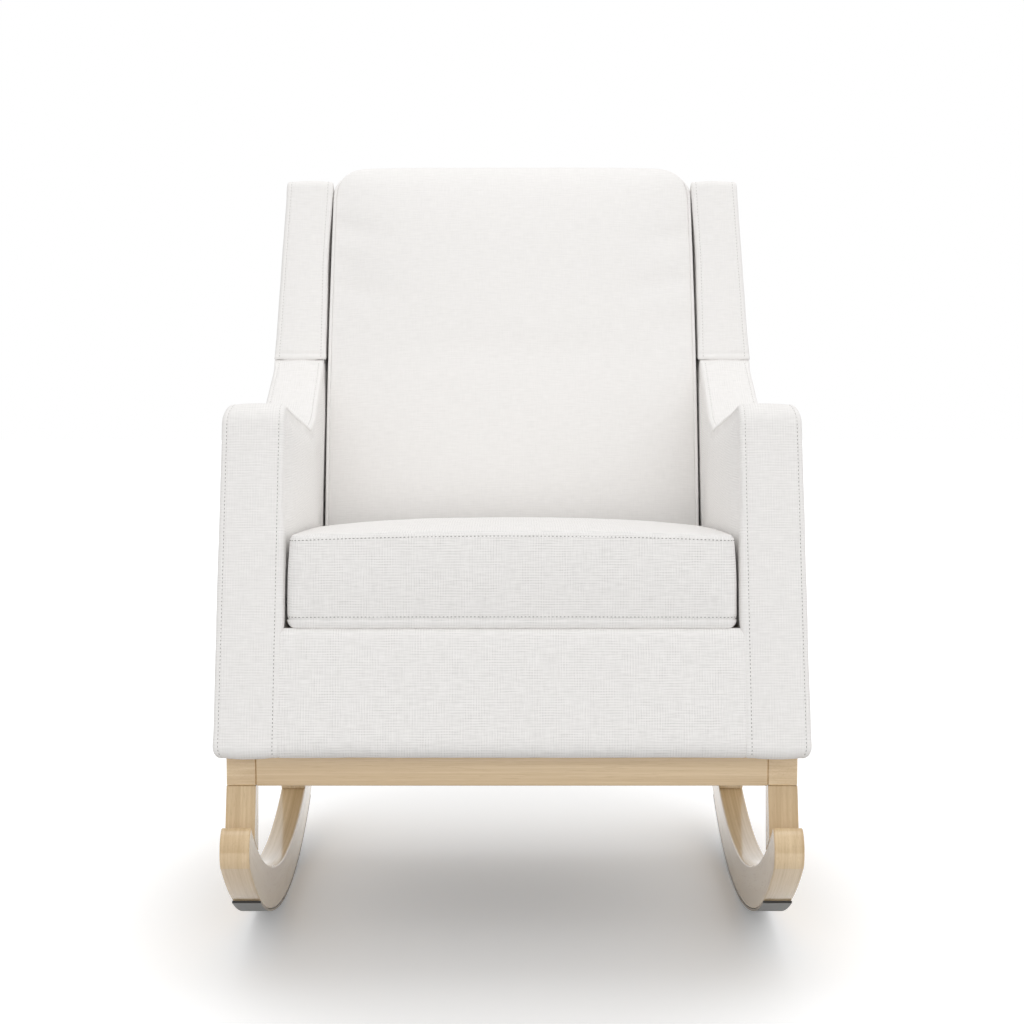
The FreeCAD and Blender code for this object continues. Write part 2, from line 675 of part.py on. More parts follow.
post_middle = "(back_panel_thickness + post_depth / 2)"
seat_screw_marks = [
    (f"seat_rear - screw_inset - {number} * screw_pitch", f"{RAIL_TOP} + screw_level")
    for number in range(SEAT_SCREW_COUNT)
]
post_screw_marks = [
    leaned(post_middle, height)
    for height in ("post_start + screw_pitch", f"{SEAM_ALONG} + screw_inset", f"{POST_END} - screw_inset")
]
screw_marks = [(value(along), value(level)) for along, level in seat_screw_marks + post_screw_marks]
frame_face = value("frame_place + frame_thickness")


def frame_screw(sign, mark):
    """Screw from the outer face of the plywood inwards, with its head sunk flush."""
    outer = Vector(sign * frame_face, mark[0], mark[1])
    inward = Vector(-sign, 0, 0)
    shank = rod(outer, inward, value("screw_diameter"), value("screw_length"))
    head = rod(outer, inward, value("screw_head_diameter"), value("screw_head_height"))
    return shank.fuse(head).removeSplitter()


screws = {side: [frame_screw(sign, mark) for mark in screw_marks] for side, sign in SIDES}
group("frame_screws", screws["left"] + screws["right"])

# Side outlines of arm, wing and frames

panel_seam = leaned_at_level("back_panel_thickness", "wing_seam_height")
panel_foot = leaned_at_level("back_panel_thickness", RAIL_TOP)
ARM_TOP_FRONT = front_line("0", "arm_front_height")
VALLEY_LEVEL = f"(arm_front_height - (valley_place - ({ARM_TOP_FRONT[0]})) * tan(arm_slope))"
CORNER_LENGTH = "(arm_corner_radius * tan((90 - front_slope + arm_slope) / 2))"
SWOOP_SLOPE = f"atan((wing_seam_height - {VALLEY_LEVEL}) / (wing_front - valley_place))"
VALLEY_LENGTH = f"(valley_radius * tan((arm_slope + {SWOOP_SLOPE} / (1 deg)) / 2))"
arm_corners = [
    ("body_front", RAIL_TOP),
    panel_foot,
    panel_seam,
    ("wing_front", "wing_seam_height"),
    (
        f"valley_place + {VALLEY_LENGTH} * cos({SWOOP_SLOPE})",
        f"{VALLEY_LEVEL} + {VALLEY_LENGTH} * sin({SWOOP_SLOPE})",
    ),
    (
        f"valley_place - {VALLEY_LENGTH} * cos(arm_slope)",
        f"{VALLEY_LEVEL} + {VALLEY_LENGTH} * sin(arm_slope)",
    ),
    (
        f"{ARM_TOP_FRONT[0]} + {CORNER_LENGTH} * cos(arm_slope)",
        f"arm_front_height - {CORNER_LENGTH} * sin(arm_slope)",
    ),
    (
        f"{ARM_TOP_FRONT[0]} - {CORNER_LENGTH} * sin(front_slope)",
        f"arm_front_height - {CORNER_LENGTH} * cos(front_slope)",
    ),
]
arm_arcs = {
    3: ("swoop_radius", -1),
    4: ("valley_radius", -1),
    6: ("arm_corner_radius", 1),
}
side_frame_corners = [
    front_line("frame_inset", RAIL_TOP),
    panel_foot,
    panel_seam,
    ("wing_front + frame_inset", "wing_seam_height"),
    ("valley_place + frame_inset", f"{VALLEY_LEVEL} - frame_inset"),
    front_line("2 * frame_inset", "arm_front_height - frame_inset"),
]
WING_DEPTH = f"((back_foot + {SEAM_RISE} * tan(back_lean) - wing_front) * cos(back_lean))"
wing_top_front = leaned(WING_DEPTH, "back_length")
wing_corners = [
    ("wing_front", "wing_seam_height"),
    panel_seam,
    leaned("back_panel_thickness", "back_length"),
    leaned(f"{WING_DEPTH} - wing_corner_radius", "back_length"),
    leaned(WING_DEPTH, "back_length - wing_corner_radius"),
]
wing_arcs = {3: ("wing_corner_radius", 1)}
wing_frame_corners = [
    ("wing_front + frame_inset", "wing_seam_height"),
    panel_seam,
    leaned("back_panel_thickness", "back_length - frame_inset"),
    leaned(f"{WING_DEPTH} - frame_inset", "back_length - frame_inset"),
]
post_corners = [
    leaned("back_panel_thickness", "post_start"),
    leaned("back_panel_thickness", POST_END),
    leaned(POST_FACE, POST_END),
    leaned(POST_FACE, "post_start"),
]
PLAN_DEPTH = "(back_foot - body_front + back_length)"
arm_fall = "((arm_outer_front - arm_outer_rear) / (back_foot - body_front))"
arm_inner_fall = "((arm_inner_front - arm_inner_rear) / (back_foot - body_front))"
wing_rise = "(back_length * cos(back_lean))"
wing_span = f"({wing_top_front[1]} - wing_seam_height)"
wing_outer_fall = f"((wing_outer_low - wing_outer_high) / {wing_span})"
wing_inner_fall = f"((wing_inner_low - wing_inner_high) / {wing_span})"


def soft_edges(name, solid, shows):
    """Round the edges of a padded piece where its outer and inner faces meet its front and top."""
    doc.recompute()
    edges = []
    for number, edge in enumerate(solid.Shape.Edges, start=1):
        middle = edge.valueAt((edge.FirstParameter + edge.LastParameter) / 2)
        if shows(edge, middle):
            edges.append((number, value("cover_round"), value("cover_round")))
    rounded = doc.addObject("Part::Fillet", name)
    rounded.Base = solid
    rounded.Edges = edges
    return rounded


def lengthwise(edge):
    """True for an edge that runs along the side of a piece, not across it."""
    ends = [vertex.Point for vertex in edge.Vertexes]
    return abs(ends[0].x - ends[-1].x) < abs(ends[0].y - ends[-1].y) + abs(ends[0].z - ends[-1].z)


def panel_face_at(level):
    """Front face of the outside back at a height."""
    return value(panel_foot[0]) + (level - rail_top) * math.tan(math.radians(value("back_lean")))


def arm_edge(edge, middle):
    """Edges of an arm that show: its front, its top and the rise to the wing."""
    seam = value("wing_seam_height")
    in_the_open = middle.z > rail_top + EDGE_MARGIN and middle.y < panel_face_at(middle.z) - EDGE_MARGIN
    return lengthwise(edge) and in_the_open and abs(middle.z - seam) > EDGE_MARGIN


def wing_edge(edge, middle):
    """Edges of a wing that show: its front and its top."""
    above = middle.z > value("wing_seam_height") + EDGE_MARGIN
    return lengthwise(edge) and above and middle.y < panel_face_at(middle.z) - EDGE_MARGIN


for side, sign in SIDES:
    screw_bores = tool_of(f"screw_bores_{side}", screws[side])
    rail_place = (SEAT_HALF if sign > 0 else "-frame_place", "0", "0")
    ply_place = ("frame_place" if sign > 0 else "-(frame_place + frame_thickness)", "0", "0")
    side_rail = prism(f"rail_blank_{side}", "YZ", seat_side_corners, "seat_rail_thickness", place=rail_place)
    bores = [screw_bores, bolt_bores, insert_bores]
    keep(cut(f"seat_side_rail_{side}_bored", side_rail, bores), f"seat_side_rail_{side}")
    post = prism(f"post_blank_{side}", "YZ", post_corners, "seat_rail_thickness", place=rail_place)
    keep(cut(f"back_post_{side}_bored", post, [screw_bores]), f"back_post_{side}")
    side_frame = prism(f"side_blank_{side}", "YZ", side_frame_corners, "frame_thickness", place=ply_place)
    keep(cut(f"side_frame_{side}_bored", side_frame, [screw_bores]), f"side_frame_{side}")
    wing_frame = prism(f"wing_blank_{side}", "YZ", wing_frame_corners, "frame_thickness", place=ply_place)
    keep(cut(f"wing_frame_{side}_bored", wing_frame, [screw_bores]), f"wing_frame_{side}")

    through = ("0" if sign > 0 else "-2 * arm_outer_front", "0", "0")
    arm_side = prism(f"arm_side_{side}", "YZ", arm_corners, "2 * arm_outer_front", arm_arcs, through)
    arm_plan_corners = [
        (f"{sign} * arm_inner_front", "body_front"),
        (f"{sign} * arm_outer_front", "body_front"),
        (f"{sign} * (arm_outer_front - {PLAN_DEPTH} * {arm_fall})", f"body_front + {PLAN_DEPTH}"),
        (f"{sign} * (arm_inner_front - {PLAN_DEPTH} * {arm_inner_fall})", f"body_front + {PLAN_DEPTH}"),
    ]
    arm_plan = prism(f"arm_plan_{side}", "XY", arm_plan_corners, SEAM_RISE, place=("0", "0", RAIL_TOP))
    arm_form = doc.addObject("Part::Common", f"arm_form_{side}")
    arm_form.Base = arm_side
    arm_form.Tool = arm_plan
    arm_soft = soft_edges(f"arm_soft_{side}", arm_form, arm_edge)
    tools = [side_frame, side_rail, post, seat_front_rail]
    keep(cut(f"arm_{side}_hollow", arm_soft, tools), f"arm_{side}")

    wing_side = prism(f"wing_side_{side}", "YZ", wing_corners, "2 * arm_outer_front", wing_arcs, through)
    wing_front_corners = [
        (f"{sign} * wing_inner_low", "wing_seam_height"),
        (f"{sign} * wing_outer_low", "wing_seam_height"),
        (f"{sign} * (wing_outer_low - {wing_rise} * {wing_outer_fall})", f"wing_seam_height + {wing_rise}"),
        (f"{sign} * (wing_inner_low - {wing_rise} * {wing_inner_fall})", f"wing_seam_height + {wing_rise}"),
    ]
    behind = ("0", f"body_front + {PLAN_DEPTH}", "0")
    wing_face = prism(f"wing_face_{side}", "XZ", wing_front_corners, PLAN_DEPTH, place=behind)
    wing_form = doc.addObject("Part::Common", f"wing_form_{side}")
    wing_form.Base = wing_side
    wing_form.Tool = wing_face
    wing_soft = soft_edges(f"wing_soft_{side}", wing_form, wing_edge)
    tools = [wing_frame, post, back_rails["back_top_rail"]]
    keep(cut(f"wing_{side}_hollow", wing_soft, tools), f"wing_{side}")

seat_blocks = corner_blocks(
    "seat_block_blanks",
    value("seat_block_leg"),
    value("seat_block_height"),
    value(SEAT_HALF),
    value(front_line(rail_rear_setback, "seat_block_start + seat_block_height")[0]),
    value(SEAT_REAR_FACE),
    value("seat_block_start"),
)
keep(seat_blocks, "seat_corner_blocks")

panel_corners = [
    front_line("0", RAIL_TOP),
    front_line("front_panel_thickness", RAIL_TOP),
    front_at_deck("front_panel_thickness", "soft_gap"),
    front_at_deck("0", "soft_gap"),
]
PANEL_HALF = "(arm_inner_front - front_panel_gap)"
panel_place = (f"-{PANEL_HALF}", "0", "0")
front_panel = prism("front_panel", "YZ", panel_corners, f"2 * {PANEL_HALF}", place=panel_place)
keep(front_panel, "front_panel")

dust_low = (f"-{SEAT_HALF}", front_line(rail_rear_setback, f"{RAIL_TOP} + cloth_thickness")[0], RAIL_TOP)
dust_high = (SEAT_HALF, SEAT_REAR_FACE, f"{RAIL_TOP} + cloth_thickness")
keep(block("dust_cover", dust_low, dust_high), "dust_cover")

# Springs, clips and deck cloth, laid out on the seat's own tilted plane

SPRING_LEVEL = "(-(2 * soft_gap + cloth_thickness + clip_thickness + wire_diameter / 2))"
seat_place = FreeCAD.Placement(
    Vector(0, value("cushion_front"), value("cushion_rest_height")),
    FreeCAD.Rotation(Vector(-1, 0, 0), value("seat_tilt")),
)
run_on_rail = value("clip_depth / 2 + clip_edge")
spring_start = value(front_at_deck(rail_setback, RAIL_DROP)[0]) - value("cushion_front") + run_on_rail
spring_end = value("seat_rear") - value("cushion_front") - run_on_rail
spring_level = value(SPRING_LEVEL)
bend = value("spring_bend_radius")
wire_radius = value("wire_diameter / 2")
bend_count = round((spring_end - spring_start) / (2 * bend))
spring_step = (spring_end - spring_start) / bend_count
bend = spring_step / 2
spring_places = [(number - (SPRING_COUNT - 1) / 2) * value("spring_pitch") for number in range(SPRING_COUNT)]


def sinuous_spring(across):
    """Wire that runs from side to side, with a half turn at each end of a run."""
    reach = value("spring_half_width") - bend
    edges = []
    here = Vector(across - reach, spring_start, spring_level)
    heading = 1
    for number in range(bend_count + 1):
        there = Vector(across + heading * reach, here.y, spring_level)
        edges.append(Part.LineSegment(here, there).toShape())
        if number == bend_count:
            break
        centre = there + Vector(0, bend, 0)
        outer = centre + Vector(heading * bend, 0, 0)
        slant = bend * math.sqrt(0.5)
        first = centre + Vector(heading * slant, -slant, 0)
        last = centre + Vector(heading * slant, slant, 0)
        here = centre + Vector(0, bend, 0)
        edges.append(Part.Arc(there, first, outer).toShape())
        edges.append(Part.Arc(outer, last, here).toShape())
        heading = -heading
    path = Part.Wire(edges)
    start = path.Edges[0].Vertexes[0].Point
    section = Part.Wire(Part.makeCircle(wire_radius, start, Vector(1, 0, 0)))
    return path.makePipeShell([section], True, True)


springs = group("sinuous_springs", [sinuous_spring(across) for across in spring_places])
springs.Placement = seat_place


def spring_clip(across, along):
    """Bent plate that holds the end run of a spring on its rail."""
    thickness = value("clip_thickness")
    depth = value("clip_depth")
    width = value("clip_width")
    height = value(CLIP_HEIGHT)
    top = spring_level + wire_radius + thickness
    outside = Part.makeBox(width, depth, height, Vector(across - width / 2, along - depth / 2, top - height))
    mouth = Vector(across - width / 2, along - depth / 2 + thickness, top - height + thickness)
    return outside.cut(Part.makeBox(width, depth, height - 2 * thickness, mouth))


clip_shapes = []
for across in spring_places:
    clip_shapes.append(spring_clip(across, spring_start))
    clip = spring_clip(across, spring_end)
    clip_shapes.append(clip.mirror(Vector(across, spring_end, 0), Vector(0, 1, 0)))
clips = group("spring_clips", clip_shapes)
clips.Placement = seat_place

SEAT_PLACE = ("0", "cushion_front", "cushion_rest_height")


def on_seat(name, low, high):
    """Rectangular piece on the tilted plane of the seat."""
    body = prism(
        name,
        "XY",
        [(low[0], low[1]), (high[0], low[1]), (high[0], high[1]), (low[0], high[1])],
        f"({high[2]}) - ({low[2]})",
    )
    bind(body.Group[0], "AttachmentOffset.Base.z", low[2])
    return tip_back(body, "seat_tilt", SEAT_PLACE)


deck_low = (f"-{SEAT_HALF}", "deck_start", "-(soft_gap + cloth_thickness)")
deck_high = (SEAT_HALF, "seat_rear - cushion_front", "-soft_gap")
keep(on_seat("deck_cloth", deck_low, deck_high), "deck_cloth")

# Loose seat cushion


def cushion_section(along, narrower, lower, crown):
    """Front-view outline of the cushion at a distance from its front."""
    foot = f"(cushion_half_width - ({narrower}))"
    shoulder = f"({foot} - cushion_taper)"
    height = f"(cushion_height - ({lower}))"
    corners = [(f"-{foot}", "0"), (foot, "0"), (shoulder, height), (f"-{shoulder}", height)]
    half_side = f"(({height} ^ 2 + cushion_taper ^ 2) ^ 0.5 / 2)"
    side = swell(half_side, "cushion_side_swell")
    return f"-({along})", corners, {1: (side, 1), 2: (swell(shoulder, crown), 1), 3: (side, 1)}


REAR_ROUND = f"{CUSHION_LENGTH} - cushion_end_round"
cushion = loft(
    "seat_cushion",
    "XZ",
    [
        cushion_section("0", "cushion_draw_in / 2", "cushion_end_drop", "cushion_crown / 3"),
        cushion_section("cushion_end_round", "0", "0", "cushion_crown / 2"),
        cushion_section(f"{CUSHION_LENGTH} / 2", "cushion_draw_in", "0", "cushion_crown"),
        cushion_section(REAR_ROUND, "cushion_draw_in / 2", "0", "cushion_crown / 2"),
        cushion_section(CUSHION_LENGTH, "cushion_draw_in", "cushion_end_drop", "cushion_crown / 3"),
    ],
)
keep(tip_back(cushion, "seat_tilt", SEAT_PLACE), "seat_cushion")

TAPE_FACE = f"({CUSHION_LENGTH} + zip_tape_thickness)"
tape_low = ("-zip_half_length", CUSHION_LENGTH, "zip_height - zip_tape_height / 2")
tape_high = ("zip_half_length", TAPE_FACE, "zip_height + zip_tape_height / 2")
keep(on_seat("zip_tape", tape_low, tape_high), "zip_tape")
CHAIN_FACE = f"({TAPE_FACE} + zip_chain_thickness)"
chain_low = ("-zip_half_length", TAPE_FACE, "zip_height - zip_chain_height / 2")
chain_high = ("zip_half_length", CHAIN_FACE, "zip_height + zip_chain_height / 2")
keep(on_seat("zip_chain", chain_low, chain_high), "zip_chain")
SLIDER_FACE = f"({CHAIN_FACE} + zip_slider_gap)"
SLIDER_OUTER = f"({SLIDER_FACE} + zip_slider_thickness)"
SLIDER_MIDDLE = "(zip_half_length - zip_slider_length)"
slider_low = (f"{SLIDER_MIDDLE} - zip_slider_length / 2", SLIDER_FACE, "zip_height - zip_slider_height / 2")
slider_high = (f"{SLIDER_MIDDLE} + zip_slider_length / 2", SLIDER_OUTER, "zip_height + zip_slider_height / 2")
pull_low = (f"{SLIDER_MIDDLE} - zip_pull_width / 2", SLIDER_OUTER, "zip_height - zip_pull_length")
pull_high = (f"{SLIDER_MIDDLE} + zip_pull_width / 2", f"{SLIDER_OUTER} + zip_pull_thickness", "zip_height")
slider = doc.addObject("Part::Fuse", "zip_slider")
slider.Base = on_seat("zip_slider_body", slider_low, slider_high)
slider.Tool = on_seat("zip_pull", pull_low, pull_high)
keep(slider, "zip_slider")

# Back: webbing, inside cushion and outside panel, all on the leaning plane

strips = []
for number in range(WEBBING_COUNT):
    place = f"({number - (WEBBING_COUNT - 1) / 2} * webbing_pitch)"
    low = (f"{place} - webbing_width / 2", POST_FACE, LOWER_RAIL_START)
    high = (f"{place} + webbing_width / 2", f"{POST_FACE} + webbing_thickness", POST_END)
    strips.append(on_back(f"webbing_{number + 1}", low, high))
webbing = doc.addObject("Part::Compound", "webbing_strips")
webbing.Links = strips
keep(webbing, "back_webbing")


def pad_section(height, narrower, crown):
    """Plan outline of the back cushion at a height along the lean."""
    half = f"(pad_half_width - ({narrower}))"
    front = f"({PAD_REAR} + pad_edge_depth)"
    corners = [
        (f"-{half}", f"-{front}"),
        (half, f"-{front}"),
        (half, f"-{PAD_REAR}"),
        (f"-{half}", f"-{PAD_REAR}"),
    ]
    return f"{PAD_START} + ({height})", corners, {0: (swell(half, crown), 1)}


pad_form = loft(
    "pad_form",
    "XY",
    [
        pad_section("0", "0", "pad_crown_low"),
        pad_section(f"{PAD_LENGTH} / 3", "pad_draw_in", "pad_crown"),
        pad_section(f"{PAD_LENGTH} * 2 / 3", "pad_taper + pad_draw_in", "pad_crown_high"),
        pad_section(PAD_LENGTH, "pad_taper", "pad_crown_top"),
    ],
)
tip_back(pad_form, "back_lean", BACK_PLACE)
PAD_TOP_HALF = "(pad_half_width - pad_taper)"
SHOULDER_HALF = f"({PAD_TOP_HALF} - pad_corner)"
pad_face_corners = [
    ("-(pad_half_width + pad_draw_in)", PAD_START),
    ("pad_half_width + pad_draw_in", PAD_START),
    (PAD_TOP_HALF, f"{PAD_END} - pad_corner - pad_top_crown"),
    (SHOULDER_HALF, f"{PAD_END} - pad_top_crown"),
    (f"-{SHOULDER_HALF}", f"{PAD_END} - pad_top_crown"),
    (f"-{PAD_TOP_HALF}", f"{PAD_END} - pad_corner - pad_top_crown"),
]
pad_face_arcs = {2: ("pad_corner", 1), 3: (swell(SHOULDER_HALF, "pad_top_crown"), 1), 4: ("pad_corner", 1)}
pad_face = prism("pad_face", "XZ", pad_face_corners, f"{PAD_REAR} + 2 * pad_edge_depth", pad_face_arcs)
tip_back(pad_face, "back_lean", BACK_PLACE)
pad_round = doc.addObject("Part::Common", "pad_round")
pad_round.Base = pad_form
pad_round.Tool = pad_face
HOLLOW_HALF = f"({PAD_TOP_HALF} - pad_draw_in - pad_wall)"
hollow_low = (f"-{HOLLOW_HALF}", f"{PAD_REAR} - soft_gap", f"{PAD_START} + pad_wall")
hollow_high = (HOLLOW_HALF, f"{PAD_REAR} + pad_edge_depth - pad_wall", f"{PAD_END} - pad_corner - pad_wall")
pad_hollow = on_back("pad_hollow", hollow_low, hollow_high)
keep(cut("back_cushion_hollow", pad_round, [pad_hollow]), "back_cushion")

cap_low = ("-(wing_inner_high - soft_gap)", "back_panel_thickness", POST_END)
cap_high = ("wing_inner_high - soft_gap", f"{PAD_REAR} - soft_gap", "back_length")
keep(on_back("top_cap", cap_low, cap_high), "top_cap")

back_panel_corners = [
    ("-arm_outer_rear", "0"),
    ("arm_outer_rear", "0"),
    ("wing_outer_low", SEAM_ALONG),
    ("wing_outer_high", "back_length"),
    ("-wing_outer_high", "back_length"),
    ("-wing_outer_low", SEAM_ALONG),
]
back_panel = prism("back_panel", "XZ", back_panel_corners, "back_panel_thickness")
keep(tip_back(back_panel, "back_lean", BACK_PLACE), "back_panel")

# Check and write

doc.recompute()
for thing in doc.Objects:
    faults = {"Invalid", "Error"} & set(thing.State)
    if faults:
        raise RuntimeError(f"{thing.Label} did not compute: {sorted(faults)}")
for thing in parts:
    if thing.Shape.isNull() or not thing.Shape.isValid():
        raise RuntimeError(f"{thing.Label} has no sound shape")
os.makedirs("parts", exist_ok=True)
overall = FreeCAD.BoundBox()
for thing in parts:
    thing.Shape.exportStep(f"parts/{thing.Label}.step")
    overall.add(thing.Shape.BoundBox)
    print(f"{thing.Label}: {len(thing.Shape.Solids)} solids, {thing.Shape.Volume / 1000:.1f} cm3")
across, along, upright = (
    f"{low:.1f} to {high:.1f}"
    for low, high in (
        (overall.XMin, overall.XMax),
        (overall.YMin, overall.YMax),
        (overall.ZMin, overall.ZMax),
    )
)
print(f"{len(parts)} sub-parts; x {across}, y {along}, z {upright}")
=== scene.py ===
"""Upholstered nursery rocker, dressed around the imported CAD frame.

Lengths are metres in the frame's own axes: the front is -Y and the floor is z = 0.
Left and right are those of a viewer in front of the chair, with right at +X.
"""

import logging
import math
from dataclasses import dataclass
from enum import Enum
from functools import cache
from typing import Any, Callable, Iterator, Optional, Sequence

import bmesh
import bpy
import numpy as np
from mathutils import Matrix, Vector, noise
from mathutils.geometry import delaunay_2d_cdt


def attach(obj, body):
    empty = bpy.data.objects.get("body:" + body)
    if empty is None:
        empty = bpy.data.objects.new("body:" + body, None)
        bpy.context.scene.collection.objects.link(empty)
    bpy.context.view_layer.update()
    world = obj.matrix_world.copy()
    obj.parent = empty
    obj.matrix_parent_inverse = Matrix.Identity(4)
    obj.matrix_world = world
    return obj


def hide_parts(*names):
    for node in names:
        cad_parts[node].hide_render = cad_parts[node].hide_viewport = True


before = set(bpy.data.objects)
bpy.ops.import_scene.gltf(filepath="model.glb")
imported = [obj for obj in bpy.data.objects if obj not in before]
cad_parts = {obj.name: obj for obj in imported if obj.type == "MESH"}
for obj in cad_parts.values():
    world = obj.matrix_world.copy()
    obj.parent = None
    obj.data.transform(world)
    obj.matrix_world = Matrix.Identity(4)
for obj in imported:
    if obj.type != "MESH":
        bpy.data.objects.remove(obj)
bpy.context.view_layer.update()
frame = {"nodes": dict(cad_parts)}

LOG = logging.getLogger("nursery_rocker")
MM = 0.001
Array = np.ndarray
Piece = bpy.types.Object
Socket = bpy.types.NodeSocket
Colour = tuple[int, int, int]
Triple = tuple[float, float, float]
Pairs = tuple[tuple[float, float], ...]
Surface = Callable[[Array, Array], Array]


class Side(Enum):
    """The chair's two sides, with the sign of their X."""

    LEFT = -1
    RIGHT = 1

    @property
    def label(self) -> str:
        """The word that node names end in."""
        return self.name.lower()


class Grain(Enum):
    """The direction in which a wooden piece's grain runs, as a turn that brings it to X."""

    ACROSS = (0.0, 0.0, 0.0)
    FORE_AND_AFT = (0.0, 0.0, math.radians(90.0))
    UPRIGHT = (0.0, math.radians(90.0), 0.0)


# Node graphs

class Graph:
    """A node tree while it is being laid out."""

    def __init__(self, tree: bpy.types.NodeTree) -> None:
        """Take the tree to add nodes to."""
        self.tree = tree

    def add(self, kind: str, inputs: Optional[dict[Any, Any]] = None, **settings: Any) -> bpy.types.Node:
        """Add a node, set its properties and fill or link its inputs.

        Args:
            kind: the node's type name.
            inputs: socket name or number to a value, or to an output socket to link.
            **settings: properties of the node itself.
        Returns:
            The new node.
        """
        node = self.tree.nodes.new(kind)
        for key, value in settings.items():
            setattr(node, key, value)
        self.fill(node, inputs or {})
        return node

    def fill(self, node: bpy.types.Node, inputs: dict[Any, Any]) -> None:
        """Set a node's inputs to values, or link them to sockets.

        Args:
            node: the node to fill.
            inputs: socket name or number to a value, or to an output socket to link.
        """
        for key, value in inputs.items():
            if isinstance(value, Socket):
                self.tree.links.new(value, node.inputs[key])
            else:
                node.inputs[key].default_value = value

    def calc(self, operation: str, *values: Any) -> Socket:
        """One Math node's result for numbers or sockets."""
        return self.add("ShaderNodeMath", dict(enumerate(values)), operation=operation).outputs[0]

    def vector(self, operation: str, first: Any, second: Any) -> Socket:
        """One Vector Math node's result for two vectors or sockets."""
        return self.add("ShaderNodeVectorMath", {0: first, 1: second}, operation=operation).outputs[0]

    def noise(self, place: Socket, scale: Triple, detail: float, output: str = "Fac") -> Socket:
        """Noise with its own repeats for each metre along the three axes."""
        spread_out = self.vector("MULTIPLY", place, scale)
        return self.add("ShaderNodeTexNoise",
                        {"Vector": spread_out, "Scale": 1.0, "Detail": detail}).outputs[output]

    def mapped(self, value: Socket, limits: tuple[float, float], low: Any = 0.0, high: Any = 1.0,
               kind: str = "LINEAR") -> Socket:
        """A value between limits, as one from low to high."""
        return self.add("ShaderNodeMapRange",
                        {"Value": value, "From Min": limits[0], "From Max": limits[1], "To Min": low,
                         "To Max": high}, interpolation_type=kind).outputs[0]

    def blend(self, tone: Socket, dark: Any, light: Any) -> Socket:
        """A colour between two others, by a tone from 0 to 1."""
        return self.add("ShaderNodeMix", {0: tone, 6: dark, 7: light}, data_type="RGBA").outputs[2]

    def between(self, share: Socket, first: Any, second: Any) -> Socket:
        """A value between two others, by a share from 0 to 1."""
        return self.add("ShaderNodeMix", {0: share, 2: first, 3: second}, data_type="FLOAT").outputs[0]

    def place(self) -> Socket:
        """The Object coordinates."""
        return self.add("ShaderNodeTexCoord").outputs["Object"]


def cleared(owner: Any) -> Graph:
    """Clear the nodes of a new material or world.

    Args:
        owner: the material or the world.
    Returns:
        A graph without nodes.
    """
    owner.use_nodes = True
    owner.node_tree.nodes.clear()
    return Graph(owner.node_tree)


def node_group(name: str, kind: str, inputs: dict[str, str], outputs: dict[str, str]) -> tuple[Graph, Any]:
    """Start a node group with named sockets.

    Args:
        name: the group's name.
        kind: Shader or Geometry.
        inputs: input names to kinds of socket.
        outputs: output names to kinds of socket.
    Returns:
        The graph, and the sockets that give the group's inputs.
    """
    tree = bpy.data.node_groups.new(name, kind + "NodeTree")
    for way, sockets in (("INPUT", inputs), ("OUTPUT", outputs)):
        for label, socket in sockets.items():
            tree.interface.new_socket(label, in_out=way, socket_type="NodeSocket" + socket)
    graph = Graph(tree)
    return graph, graph.add("NodeGroupInput").outputs


@cache
def weave_group() -> bpy.types.NodeTree:
    """Linen-look weave with patches of thread lines and slubs along both yarns, on a UV map in metres.

    Returns:
        The node group.
    """
    mean_tone, mean_height, yarn_height = 0.8, 0.6, 0.2
    wander_scale, wander_reach, patch_limits = 55.0, 1.1 * MM, (0.38, 0.66)
    graph, given = node_group(
        "Linen weave", "Shader",
        {"Place": "Vector", "Yarns per metre": "Float", "Slub": "Float", "Grid": "Float"},
        {"Tone": "Float", "Height": "Float"})
    wander = graph.noise(given["Place"], (wander_scale, wander_scale, wander_scale), 1.0, "Color")
    shift = graph.vector("MULTIPLY", wander, (wander_reach, wander_reach, 0.0))
    loose = graph.vector("ADD", given["Place"], shift)
    parts = graph.add("ShaderNodeSeparateXYZ", {0: loose}).outputs
    turn = graph.calc("MULTIPLY", given["Yarns per metre"], math.pi)
    yarns: Any = 0.0
    slubs: Any = 0.0
    for axis, slub_scale, patch_scale, share in ((1, (55.0, 560.0, 1.0), (30.0, 60.0, 1.0), 1.0),
                                                 (0, (560.0, 55.0, 1.0), (60.0, 30.0, 1.0), 0.65)):
        thread = graph.calc("SINE", graph.calc("MULTIPLY", parts[axis], turn))
        patch = graph.mapped(graph.noise(loose, patch_scale, 1.0), patch_limits, high=share)
        slub = graph.calc("SUBTRACT", graph.noise(loose, slub_scale, 1.0), 0.5)
        yarns = graph.calc("MULTIPLY_ADD", thread, patch, yarns)
        slubs = graph.calc("MULTIPLY_ADD", slub, share, slubs)
    lined = graph.calc("MULTIPLY_ADD", yarns, given["Grid"], mean_tone)
    raised = graph.calc("MULTIPLY_ADD", yarns, yarn_height, mean_height)
    graph.add("NodeGroupOutput", {"Tone": graph.calc("MULTIPLY_ADD", slubs, given["Slub"], lined),
                                  "Height": graph.calc("ADD", raised, slubs)})
    return graph.tree


